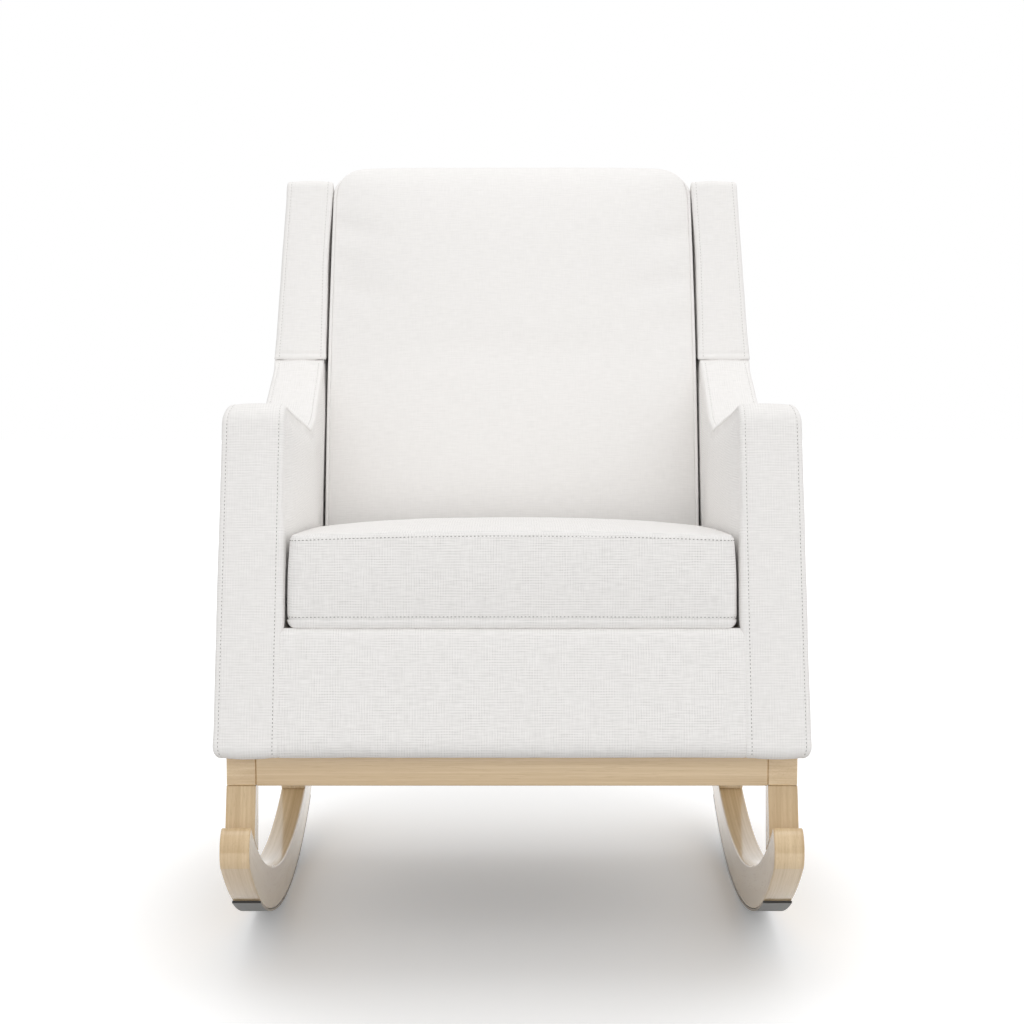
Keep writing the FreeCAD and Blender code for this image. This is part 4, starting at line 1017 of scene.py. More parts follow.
@dataclass
class Arm:
    """One padded arm with its side panel, from the base rail up to the wing's seam."""

    side: Side
    front: float = -0.3862
    hem: float = 0.2640
    foot: float = 0.2705
    rail_front: float = -0.3545
    front_slope: float = 13.0
    crest_height: float = 0.6795
    valley: tuple[float, float] = (-0.014, 0.6315)
    valley_radius: float = 0.085
    swoop_radius: float = 0.48
    wing_front: float = 0.1862
    wing_seam: float = 0.7162
    rear_low: float = 0.2395
    rear_high: float = 0.3590
    nose_radius: float = 0.026
    edge_depth: float = 0.015
    top_reach: float = 0.026
    top_draw: float = 6.5 * MM
    hem_reach: float = 0.016
    hem_draw: float = 5.0 * MM
    swoop_swell: float = 2.0 * MM
    valley_draw: float = 3.2 * MM
    wing_tuck: float = 0.9
    panel_tuck: float = 0.72
    cushion_swell: float = 3.6 * MM
    outer_flank: Flank = Flank(0.3520, -0.385, 0.277, 0.0190, 0.00715)
    inner_flank: Flank = Flank(0.2746, front, hem, 0.0065, 0.0060)

    def crest(self) -> float:
        """Where the arm's front line meets its top line, front to back."""
        return self.front + math.tan(math.radians(self.front_slope)) * (self.crest_height - self.hem)

    def corners(self) -> list[Triple]:
        """List the corners of the arm's outline, from the front foot round by the rear.

        Returns:
            Corners as Y, Z and a radius.
        """
        low = np.array(self.valley)
        high = np.array([self.wing_front, self.wing_seam])
        chord = high - low
        span = float(np.linalg.norm(chord))
        bow = span / 2.0 * math.tan(math.asin(span / 2.0 / self.swoop_radius))
        swoop = (low + high) / 2.0 + np.array([chord[1], -chord[0]]) / span * bow
        return [
            (self.front, self.hem, 0.013), (self.rail_front, self.hem, 0.003),
            (self.rail_front + 2.0 * MM, self.foot, 0.002), (self.rear_low, self.foot, 0.006),
            (self.rear_high, self.wing_seam, 0.003), (*high, 0.002), (*swoop, 0.3),
            (*low, self.valley_radius), (self.crest(), self.crest_height, self.nose_radius)]

    def outer(self, y: Array, z: Array) -> Array:
        """Distance of the outer face from the chair's middle, drawn in at the top corner and the hem.

        Args:
            y: places from front to back.
            z: heights of the places.
        Returns:
            The distance at each place.
        """
        fall = (self.crest_height - self.valley[1]) / (self.valley[0] - self.crest())
        top = self.crest_height - fall * (y - self.crest())
        near_top = np.clip((z - top) / self.top_reach + 1.0, 0.0, 1.0) * (1.0 - ramp(y, -0.14, -0.03))
        near_hem = np.clip((self.hem - z) / self.hem_reach + 1.0, 0.0, 1.0)
        swoop = ramp(y, 0.0, 0.07) * (1.0 - ramp(y, 0.13, 0.185)) * ramp(z, 0.60, 0.66)
        drawn = self.top_draw * near_top ** 2 + self.hem_draw * near_hem ** 2 - self.swoop_swell * swoop
        return self.outer_flank(y, z) - drawn

    def inner(self, y: Array, z: Array) -> Array:
        """Distance of the inner face's seam from the chair's middle, closer to it in the valley."""
        valley = ramp(y, -0.22, -0.04) * (1.0 - ramp(y, 0.02, 0.12)) * ramp(z, 0.58, 0.62)
        return self.inner_flank(y, z) - self.valley_draw * valley

    @staticmethod
    def outer_puff(y: Array, z: Array) -> Array:
        """How far the outer panel stands out between its seams."""
        return np.full_like(y, 2.5 * MM)

    @staticmethod
    def inner_puff(y: Array, z: Array) -> Array:
        """How far the inner panel stands in between its seams, most beside the seat cushion's front."""
        beside_cushion = ramp(z, 0.455, 0.56) * (1.0 - ramp(y, -0.10, 0.06))
        return -MM * (5.4 + 4.0 * beside_cushion - 2.6 * ramp(y, 0.0, 0.10))

    def build(self, step: float = 0.0045) -> tuple[list[SeamLine], list[SeamLine]]:
        """Make the arm and return the lines of its topstitching.

        Args:
            step: the distance between points along the outline.
        Returns:
            The seam lines down the arm's front, and those over its top.
        """
        outline = rounded_outline(self.corners(), step)
        y, z = outline.T
        room = corner_room(outline, self.corners(), self.edge_depth)
        sewn_to_panel = (1.0 - ramp(z, 0.400, 0.432)) * (1.0 - ramp(y, -0.345, -0.325))
        beside_cushion = ramp(z, 0.398, 0.424) * (1.0 - ramp(z, 0.49, 0.58)) * (1.0 - ramp(y, -0.30, -0.26))
        under_wing = room * (1.0 - self.wing_tuck * ramp(z, self.wing_seam - 0.012, self.wing_seam - 0.004))
        slab = PaddedSlab("arm_cover_" + self.side.label, self.side, outline, self.outer, self.inner,
                          self.outer_puff, self.inner_puff, under_wing,
                          under_wing * (1.0 - self.panel_tuck * sewn_to_panel),
                          self.cushion_swell * beside_cushion, ARM_COVER)
        sign = self.side.value
        piece = slab.build(((0.5, 0.07, 3.0 + sign), (0.18, 0.022, 9.0 + sign)), "arm_" + self.side.label)
        # The lines start and end a few points past the corners.
        seam_end = nearest(outline, self.wing_front, self.wing_seam) + 2
        crest = nearest(outline, self.crest(), self.crest_height) + 5
        return slab.seams(piece, crest, len(outline) + 3), slab.seams(piece, seam_end, crest)


@dataclass
class Wing:
    """One padded wing that stands on the arm's rear end and leans back with the backrest."""

    side: Side
    front: float = 0.1832
    seam: float = 0.7163
    top_front: tuple[float, float] = (0.2530, 0.9735)
    top_rear: tuple[float, float] = (0.4150, 0.9285)
    rear_low: float = 0.3590
    lip: float = 9.0 * MM
    lip_groove: float = 1.3 * MM
    lip_width: float = 1.6 * MM
    front_reach: float = 4.0 * MM
    top_draw: float = 5.0 * MM
    face_puff: float = 1.2 * MM
    foot_tuck: float = 0.75
    edge_depth: float = 0.015
    outer: Flank = Flank(0.3385, 0.0, 0.719, 0.0, 0.0535)
    inner_flank: Flank = Flank(0.2656, 0.0, 0.719, 0.0, 0.0080)

    def corners(self) -> list[Triple]:
        """The corners of the wing's side outline, from the front foot round by the rear."""
        return [(self.front, self.seam, 0.003), (self.rear_low, self.seam, 0.004), (*self.top_rear, 0.010),
                (*self.top_front, 0.010)]

    def outline(self, step: float) -> Array:
        """Draw the wing's side outline, with a sewn lip above the foot.

        Args:
            step: the distance between the outline's points.
        Returns:
            The outline's points.
        """
        made = rounded_outline(self.corners(), step)
        lean = (self.top_front[0] - self.front) / (self.top_front[1] - self.seam)
        ahead = np.abs(made[:, 0] - self.front - lean * (made[:, 1] - self.seam)) < self.front_reach
        groove = np.exp(-((made[:, 1] - self.seam - self.lip) / self.lip_width) ** 2) * ahead
        return made - outward(made) * (groove * self.lip_groove)[:, None]

    def inner(self, y: Array, z: Array) -> Array:
        """Distance of the inner face's seam from the chair's middle, closer to the cushion near the top."""
        return self.inner_flank(y, z) - self.top_draw * ramp(z, 0.84, 0.99)

    def puff(self, y: Array, z: Array) -> Array:
        """How far the faces stand out between their seams."""
        return np.full_like(y, self.face_puff)

    def build(self, step: float = 0.002) -> list[SeamLine]:
        """Make the wing.

        Args:
            step: the distance between the outline's points.
        Returns:
            The lines of its topstitching.
        """
        outline = self.outline(step)
        room = corner_room(outline, self.corners(), self.edge_depth)
        above_foot = ramp(outline[:, 1], self.seam + 0.001, self.seam + 0.006)
        corner = room * (1.0 - self.foot_tuck * (1.0 - above_foot))
        slab = PaddedSlab("wing_cover_" + self.side.label, self.side, outline, self.outer, self.inner,
                          self.puff, lambda y, z: -self.puff(y, z), corner, corner, 0.0, BACK_COVER)
        sign = self.side.value
        piece = slab.build(((0.4, 0.06, 5.0 + sign), (0.15, 0.02, 2.0 + sign)), "wing_" + self.side.label)
        return slab.seams(piece, nearest(outline, *self.top_rear) + 3, len(outline))


# Boxed panels and cushions

@dataclass
class BoxedPanel:
    """A sewn panel with a face, a boxing round its edge and a rear, in a local frame.

    The four sides run across or along in the frame. The boxing's rings are given as a share of the way
    from the face to the rear and how far they stand out, in millimetres.
    """

    name: str
    frame: LocalFrame
    sides: tuple[Array, Array, Array, Array]
    seam_level: float
    rear_level: float
    crown: float
    boxing: Pairs = ((0.12, 0.0), (0.5, 0.0), (0.88, 0.0), (1.0, 0.0))
    seams: tuple[int, ...] = (0,)
    finish: Finish = COVER
    seam_rise: float = 0.0
    crown_powers: tuple[float, float] = (3.0, 3.0)
    cell: float = 0.009
    low_roll: tuple[float, float] = (0.0, 1.0)
    high_roll: tuple[float, float] = (0.0, 1.0)
    high_fall: float = 0.0
    low_hang: float = 0.0
    hang_from: float = 0.93

    def __post_init__(self) -> None:
        """Spread each side's points over the cells, closer together at the corners."""
        low, right, high, left = self.sides
        self.wide, self.long = (max(4, int(np.linalg.norm(side[-1] - side[0]) / self.cell))
                                for side in (low, left))
        across = crowded(self.wide + 1)
        along = crowded(self.long + 1)
        self.u = across[:, None]
        self.v = along[None, :]
        low, high = spread(low, across), spread(high, across)
        right, left = spread(right, along), spread(left, along)
        self.loop = np.vstack([low[:-1], right[:-1], high[:0:-1], left[:0:-1]])
        self.first, self.last = self.loop[:, 1].min(), self.loop[:, 1].max()

    def patch(self, loop: Array) -> Array:
        """Fill a loop of border points with a net of points between them.

        Args:
            loop: the border's points, in order from the low side's start.
        Returns:
            The net's points, across by along.
        """
        wide, long = self.wide, self.long
        low = loop[:wide + 1]
        right = loop[wide:wide + long + 1]
        high = loop[wide + long:2 * wide + long + 1][::-1]
        left = closed(loop)[2 * wide + long:][::-1]
        u, v = self.u[:, :, None], self.v[:, :, None]
        flat = (1 - u) * (1 - v) * low[0] + u * (1 - v) * low[-1] + (1 - u) * v * high[0] + u * v * high[-1]
        return (1 - v) * low[:, None] + v * high[:, None] + (1 - u) * left[None] + u * right[None] - flat

    def seam_place(self, across: Array, along: Array) -> Array:
        """Find the face's level without its crown, which arches across and rolls off at its ends.

        Args:
            across: places across the face.
            along: places along the face.
        Returns:
            The level at each place.
        """
        half = np.abs(self.loop[:, 0]).max()
        share = (along - self.first) / np.ptp(self.loop[:, 1])
        level = self.seam_level + self.seam_rise * (1.0 - (across / half) ** 2) - self.high_fall * share ** 2
        for (depth, reach), inwards in ((self.low_roll, along - self.first),
                                        (self.high_roll, self.last - along)):
            bend = np.clip((reach - inwards) / reach, 0.0, 0.995)
            level = level - depth * (1.0 - np.sqrt(1.0 - bend ** 2))
        return level

    def ring(self, share: float, outset: float) -> Array:
        """Lay one ring of the boxing.

        Args:
            share: how far the ring is from the face's seam, up to 1 at the rear.
            outset: how far it stands out.
        Returns:
            The ring's points.
        """
        place = self.loop + outward(self.loop) * outset
        level = self.seam_place(*self.loop.T) * (1.0 - share) + self.rear_level * share
        hung = max(0.0, share - self.hang_from) / (1.0 - self.hang_from)
        return np.column_stack([place, level - self.hang(place[:, 1]) * hung])

    def hang(self, along: Array) -> Array:
        """How far the rear's low edge hangs below the rear's level."""
        return self.low_hang * (1.0 - ramp(along, self.first - 2.0 * MM, self.first + 16.0 * MM))

    def crest(self) -> Array:
        """Find the height of the filling over the face, which is level at its edges.

        Returns:
            Heights, across by along.
        """
        across = 1.0 - np.abs(2.0 * self.u - 1.0) ** self.crown_powers[0]
        along = 1.0 - np.abs(2.0 * self.v - 1.0) ** self.crown_powers[1]
        return self.crown * across * along

    def build(self) -> Piece:
        """Make the closed mesh with a UV map and an attribute that marks the seams.

        Returns:
            The panel's piece.
        """
        face = self.patch(self.loop)
        level = self.seam_place(face[:, :, 0], face[:, :, 1]) + self.crest()
        rings = [self.ring(share, outset * MM) for share, outset in self.boxing]
        rear = self.patch(rings[-1])
        rear[1:-1, 1:-1, 2] = self.rear_level - self.hang(rear[1:-1, 1:-1, 1])
        local = np.vstack([np.dstack([face, level]).reshape(-1, 3), *rings[:-1], rear.reshape(-1, 3)])
        index = np.arange(level.size).reshape(level.shape)
        border = np.concatenate([index[:-1, 0], index[-1, :-1], index[:0:-1, -1], index[0, :0:-1]])
        first_rear = len(local) - level.size
        between = np.arange(level.size, first_rear).reshape(-1, len(border))
        self.levels = np.vstack([border, between, first_rear + border])
        self.sewn = self.levels[list(self.seams)].ravel()
        self.face_spots = index[1:-1, 1:-1].ravel()
        self.rear_spots = first_rear + index.ravel()
        quads = np.stack([index[:-1, :-1], index[1:, :-1], index[1:, 1:], index[:-1, 1:]], axis=2)
        quads = quads.reshape(-1, 4)
        faces = np.stack([quads, first_rear + quads[:, ::-1]], axis=1).reshape(-1, 4)
        boxing = belt(self.levels, local[self.levels, 2], run_along(closed(self.loop)))
        piece = make_piece(self.name, self.frame.world(local), [(faces, local[faces][:, :, :2]), boxing],
                           self.finish)
        marks = np.zeros(len(local), dtype=np.float32)
        marks[self.sewn] = 1.0
        piece.data.attributes.new("seam", "FLOAT", "POINT").data.foreach_set("value", marks)
        return piece

    def fill(self, piece: Piece, face_cap: float, boxing_cap: float, held: Sequence[Array] = (),
             pressure: float = 4.0, stiffness: float = 12.0, frames: int = 20) -> None:
        """Swell the panel by cloth simulation with its seams and its rear held.

        Args:
            piece: the built mesh.
            face_cap: the most that the face moves.
            boxing_cap: the most that the boxing moves.
            held: more vertices that stay where they are.
            pressure: the filling's pressure.
            stiffness: the cover's stiffness.
            frames: how long the simulation runs.
        """
        before = vertices_of(piece)
        group = piece.vertex_groups.new(name="sewn")
        fixed = np.concatenate([self.rear_spots, self.sewn, *(spots.ravel() for spots in held)])
        group.add(np.unique(fixed).tolist(), 1.0, "REPLACE")
        cloth = piece.modifiers.new("Filling", "CLOTH")
        for name, value in {
                "quality": 5, "mass": 0.3, "tension_stiffness": stiffness, "compression_stiffness": stiffness,
                "shear_stiffness": stiffness * 0.6, "bending_stiffness": 0.6, "use_pressure": True,
                "uniform_pressure_force": pressure, "vertex_group_mass": group.name}.items():
            setattr(cloth.settings, name, value)
        cloth.settings.effector_weights.gravity = 0.0
        cloth.point_cache.frame_start = 1
        cloth.point_cache.frame_end = frames
        scene = bpy.context.scene
        for number in range(1, frames + 1):
            scene.frame_set(number)
        moved = vertices_of(piece.evaluated_get(bpy.context.evaluated_depsgraph_get())) - before
        far = np.linalg.norm(moved, axis=1, keepdims=True)
        on_face = np.zeros((len(before), 1), dtype=bool)
        on_face[self.face_spots] = True
        face_most, boxing_most = float(far[on_face].max()), float(far[~on_face].max())
        LOG.info("%s swells by up to %.1f mm on its face, %.1f mm elsewhere", piece.name, face_most / MM,
                 boxing_most / MM)
        share = np.where(on_face, min(1.0, face_cap / face_most), min(1.0, boxing_cap / boxing_most))
        piece.modifiers.clear()
        piece.vertex_groups.clear()
        scene.frame_set(1)
        move_vertices(piece, before + moved * share)

    def smooth(self, piece: Piece, groove: float) -> None:
        """Subdivide the panel once and press its seams in.

        Args:
            piece: the panel's piece.
            groove: the depth of the seams.
        """
        finer = piece.modifiers.new("Smooth", "SUBSURF")
        finer.levels = 1
        finer.render_levels = 1
        settle(piece)
        marks = np.empty(len(piece.data.vertices), dtype=np.float32)
        piece.data.attributes["seam"].data.foreach_get("value", marks)
        sunk = np.where(marks > 0.95, groove, 0.0)
        move_vertices(piece, vertices_of(piece) - normals_of(piece) * sunk[:, None])
        piece.data.shade_smooth()

    def hand_in(self, piece: Piece, body: str, node: str, waves: Sequence[Triple],
                fill: Optional[float] = None) -> None:
        """Wrinkle the panel and hand it in.

        Args:
            piece: the panel's piece.
            body: the body that it rides on.
            node: the CAD node that it stands for.
            waves: the unevenness of the cover.
            fill: not used.
        """
        hand_wrinkles(piece, waves)
        finish_piece(piece, body, self.finish, node)


def tube(name: str, path: Array, radius: Array, finish: Finish, around: int = 10) -> Piece:
    """A closed round cord along a closed path, such as a piping.

    Args:
        name: the piece's name.
        path: the path's points, one a row.
        radius: the cord's radius at each point.
        finish: the cord's finish.
        around: points round the cord.
    Returns:
        The cord, with a UV map in metres.
    """
    along = along_loop(path)
    _, _, axes = np.linalg.svd(path - path.mean(axis=0), full_matrices=False)
    side = np.cross(along, axes[2])
    side /= np.linalg.norm(side, axis=1, keepdims=True)
    up = np.cross(side, along)
    angles = [2.0 * math.pi * number / around for number in range(around)]
    rings = [path + radius[:, None] * (math.cos(angle) * side + math.sin(angle) * up) for angle in angles]
    levels = closed(np.arange(around * len(path)).reshape(around, -1))
    girth = 2.0 * math.pi * float(radius.max()) / around
    heights = np.repeat(girth * np.arange(around + 1)[:, None], len(path), axis=1)
    quads, places = belt(levels, heights, run_along(closed(path)))
    piece = make_piece(name, np.vstack(rings), [(quads, places[:, :, ::-1])], finish)
    work = bmesh.new()
    work.from_mesh(piece.data)
    bmesh.ops.recalc_face_normals(work, faces=work.faces)
    work.to_mesh(piece.data)
    work.free()
    return piece


@dataclass
class SeatCushion:
    """The loose box cushion, filled by simulation and topstitched, with a zip at its rear."""

    seat: LocalFrame = LocalFrame.tilted(-0.350, 0.420, 3.5)
    ends: tuple[float, float] = (4.0 * MM, 0.4138)
    halves: tuple[float, float] = (0.2634, 0.2614)
    seam_height: float = 0.1045
    lower_stitch: int = 8
    boxing: Pairs = (
        (0.055, 0.6), (0.17, 1.3), (0.30, 2.2), (0.45, 3.0), (0.60, 3.6), (0.75, 4.0), (0.86, 4.2),
        (0.905, 4.2), (0.93, 3.2), (0.945, 4.5), (0.965, 3.8), (0.988, 2.2), (1.0, 0.2))
    lip_rings: int = 3
    zip_half: float = 0.220
    zip_height: float = 0.048
    zip_rear: float = 0.4182

    def build(self) -> list[SeamLine]:
        """Make the cushion and its zip.

        Returns:
            The lines of its topstitching.
        """
        panel = BoxedPanel("seat_cushion_cover", self.seat,
                           box_sides(self.halves, self.ends, (0.012, 0.014), side_draw=2.5 * MM),
                           seam_level=self.seam_height, rear_level=-1.8 * MM, crown=4.0 * MM,
                           boxing=self.boxing, seams=(0, self.lower_stitch + 1), seam_rise=6.0 * MM,
                           crown_powers=(5.0, 3.0), high_fall=9.0 * MM, low_hang=4.2 * MM)
        piece = panel.build()
        corner = panel.wide + panel.long
        flat_rear = panel.levels[:, corner:corner + panel.wide]
        panel.fill(piece, 4.5 * MM, 2.0 * MM, (flat_rear, panel.levels[-1 - self.lip_rings:-1]))
        picked = np.arange(-panel.long, corner + 1) % len(panel.loop)
        lines = [SeamLine.on(piece, panel.levels[level][picked]) for level in (1, self.lower_stitch)]
        panel.smooth(piece, 1.1 * MM)
        panel.hand_in(piece, "cushion", "seat_cushion", ((0.5, 0.06, 1.5), (0.2, 0.018, 6.5)), fill=0.85)
        self.zip()
        return lines

    def zip(self) -> None:
        """The zip's tape and its teeth on the cushion's flat rear."""
        middle = self.seat.world((0.0, self.zip_rear, self.zip_height))
        rear = LocalFrame(tuple(middle), (-1.0, 0.0, 0.0), self.seat.out, self.seat.along)
        sides = box_sides((self.zip_half, self.zip_half), (-0.011, 0.011), (0.001, 0.001))
        tape = BoxedPanel("zip_tape_woven", rear, sides, seam_level=1.0 * MM, rear_level=0.0, crown=0.1 * MM,
                          boxing=((0.5, 0.0), (1.0, 0.0)), finish=TAPE, cell=0.006)
        finish_piece(tape.build(), "cushion", TAPE, "zip_tape")
        teeth = ZipTeeth(self.zip_half).build("zip_chain_teeth", rear.world((0.0, 0.0, 2.0 * MM)), rear.along)
        finish_piece(teeth, "cushion", TEETH, "zip_chain")


@dataclass
class BackCushion:
    """The inside back: a tall boxed cushion that rolls over at its top, with a self-piping down its sides.

    A dent is given by its place across and along, its half width, its half height and its depth in mm.
    """

    face: LocalFrame = LocalFrame.leaning(0.245, 0.270, 15.0)
    ends: tuple[float, float] = (0.106, 0.7030)
    halves: tuple[float, float] = (0.2605, 0.2545)
    rear: float = 0.0385
    seam: float = 0.166
    piping: float = 2.2 * MM
    boxing: Pairs = ((0.03, 0.6), (0.1, 1.6), (0.25, 2.2), (0.45, 2.4), (0.65, 2.0), (0.85, 1.0), (1.0, 0.0))
    dents: tuple[tuple[float, float, float, float, float], ...] = (
        (-0.235, 0.610, 0.050, 0.014, 4.0), (-0.242, 0.555, 0.040, 0.012, 2.6),
        (-0.225, 0.520, 0.055, 0.014, 3.8), (0.236, 0.600, 0.047, 0.013, 3.4),
        (0.228, 0.530, 0.055, 0.014, 3.8), (0.240, 0.470, 0.040, 0.014, 2.4), (0.0, 0.425, 0.190, 0.020, 2.2))
    dent_slant: float = 0.25
    roll_span: tuple[float, float] = (0.034, 0.008)
    seam_share: float = 0.3
    piping_proud: float = 0.7 * MM
    piping_sink: float = 2.7 * MM
    piping_taper: float = 1.7 * MM

    def build(self) -> None:
        """Make the cushion and its piping, which sinks into the roll at the top."""
        sides = box_sides(self.halves, self.ends, (0.020, 0.045), high_bow=8.0 * MM, side_draw=-2.6 * MM)
        panel = BoxedPanel("back_cushion_cover", self.face, sides, seam_level=self.seam, rear_level=self.rear,
                           crown=27.0 * MM, crown_powers=(3.0, 4.0), cell=0.010, boxing=self.boxing,
                           low_roll=(0.012, 0.02), high_roll=(0.026, 0.030), finish=BACK_COVER)
        piece = panel.build()
        panel.fill(piece, 10.0 * MM, 1.5 * MM)
        self.press(piece, panel.face_spots)
        rim = panel.levels[0]
        over_top = ramp(panel.loop[:, 1], self.ends[1] - self.roll_span[0], self.ends[1] - self.roll_span[1])
        seam_marks = piece.data.attributes["seam"].data
        for spot, share in zip(rim.tolist(), over_top):
            seam_marks[spot].value = 1.0 if share < self.seam_share else 0.0
        proud = self.piping_proud - self.piping_sink * over_top
        path = vertices_of(piece)[rim] + normals_of(piece)[rim] * proud[:, None]
        panel.smooth(piece, 0.6 * MM)
        panel.hand_in(piece, "chair", "back_cushion", ((0.8, 0.09, 4.5), (0.22, 0.02, 7.5)), fill=0.85)
        cord = tube("back_cushion_piping", path, self.piping - self.piping_taper * over_top, BACK_COVER)
        finish_piece(cord, "chair", BACK_COVER)

    def press(self, piece: Piece, spots: Array) -> None:
        """Press shallow dents into the face, where the cover is pulled towards its side seams.

        Args:
            piece: the cushion's piece.
            spots: the vertices of its face.
        """
        points = vertices_of(piece)
        face = points[spots] - np.array(self.face.origin)
        across = face @ np.array(self.face.across)
        along = face @ np.array(self.face.along)
        depth = np.zeros(len(spots))
        for x, height, wide, high, deep in self.dents:
            slant = (along - height) - self.dent_slant * np.sign(x) * (across - x)
            depth += deep * MM * np.exp(-((across - x) / wide) ** 2 - (slant / high) ** 2)
        points[spots] -= depth[:, None] * np.array(self.face.out)
        move_vertices(piece, points)


@dataclass
class BodyPanels:
    """The front panel, the outside back, the cap over the top rail, the deck and the dust cover."""

    front: LocalFrame = LocalFrame.leaning(-0.3852, 0.2680, 13.0)
    outside: LocalFrame = LocalFrame.leaning(0.245, 0.2705, 15.0, facing=-1.0)
    cap: LocalFrame = LocalFrame.tilted(0.245, 0.270, 15.0)
    seat: LocalFrame = LocalFrame.tilted(-0.350, 0.420, 3.5)
    under: LocalFrame = LocalFrame((0.0, 0.0, 0.272), (-1.0, 0.0, 0.0), (0.0, 1.0, 0.0), (0.0, 0.0, -1.0))
    thin: Pairs = ((0.5, 0.0), (1.0, 0.0))

    def build(self) -> None:
        """Make the panels and the two sheets."""
        front = BoxedPanel("front_panel_cover", self.front,
                           box_sides((0.2775, 0.2775), (0.0, 0.1525), (0.002, 0.003)), seam_level=-1.0 * MM,
                           rear_level=-0.0235, crown=2.4 * MM, crown_powers=(14.0, 8.0),
                           boxing=((0.1, 0.0), (0.5, 0.0), (0.9, 0.0), (1.0, 0.0)), low_roll=(0.012, 0.018),
                           high_roll=(0.006, 0.009))
        outside = BoxedPanel("outside_back_cover", self.outside,
                             box_sides((0.3360, 0.3215), (0.001, 0.6795), (0.006, 0.012)), seam_level=0.0,
                             rear_level=-0.0046, crown=3.0 * MM, crown_powers=(12.0, 12.0), cell=0.012,
                             finish=ARM_COVER)
        cap = BoxedPanel("top_cap_cover", self.cap,
                         box_sides((0.2615, 0.2615), (-0.0370, -0.0052), (0.004, 0.004)),
                         seam_level=0.6760, rear_level=0.6610, crown=4.0 * MM, crown_powers=(16.0, 2.0),
                         cell=0.008, finish=ARM_COVER)
        for panel, node, seed in ((front, "front_panel", 2.5), (outside, "back_panel", 8.5),
                                  (cap, "top_cap", 5.5)):
            piece = panel.build()
            panel.smooth(piece, 0.0)
            panel.hand_in(piece, "chair", node, ((0.5, 0.08, seed), (0.18, 0.02, seed + 1.0)), fill=0.9)
        deck = BoxedPanel("deck_lining", self.seat,
                          box_sides((0.2620, 0.2620), (0.0165, 0.5540), (0.004, 0.004)), seam_level=-2.2 * MM,
                          rear_level=-4.0 * MM, crown=-1.0 * MM, boxing=self.thin, finish=DECK, cell=0.014)
        piece = deck.build()
        deck.hand_in(piece, "chair", "deck_cloth", ((0.5, 0.07, 2.2),))
        dust = BoxedPanel("dust_cover_sheet", self.under,
                          box_sides((0.2635, 0.2635), (-0.3340, 0.1775), (0.004, 0.004)),
                          seam_level=1.6 * MM, rear_level=0.2 * MM, crown=3.0 * MM, boxing=self.thin,
                          finish=DUST_CLOTH, cell=0.014)
        piece = dust.build()
        dust.hand_in(piece, "chair", "dust_cover", ((0.6, 0.09, 4.2),))


# Wooden base and hidden pieces

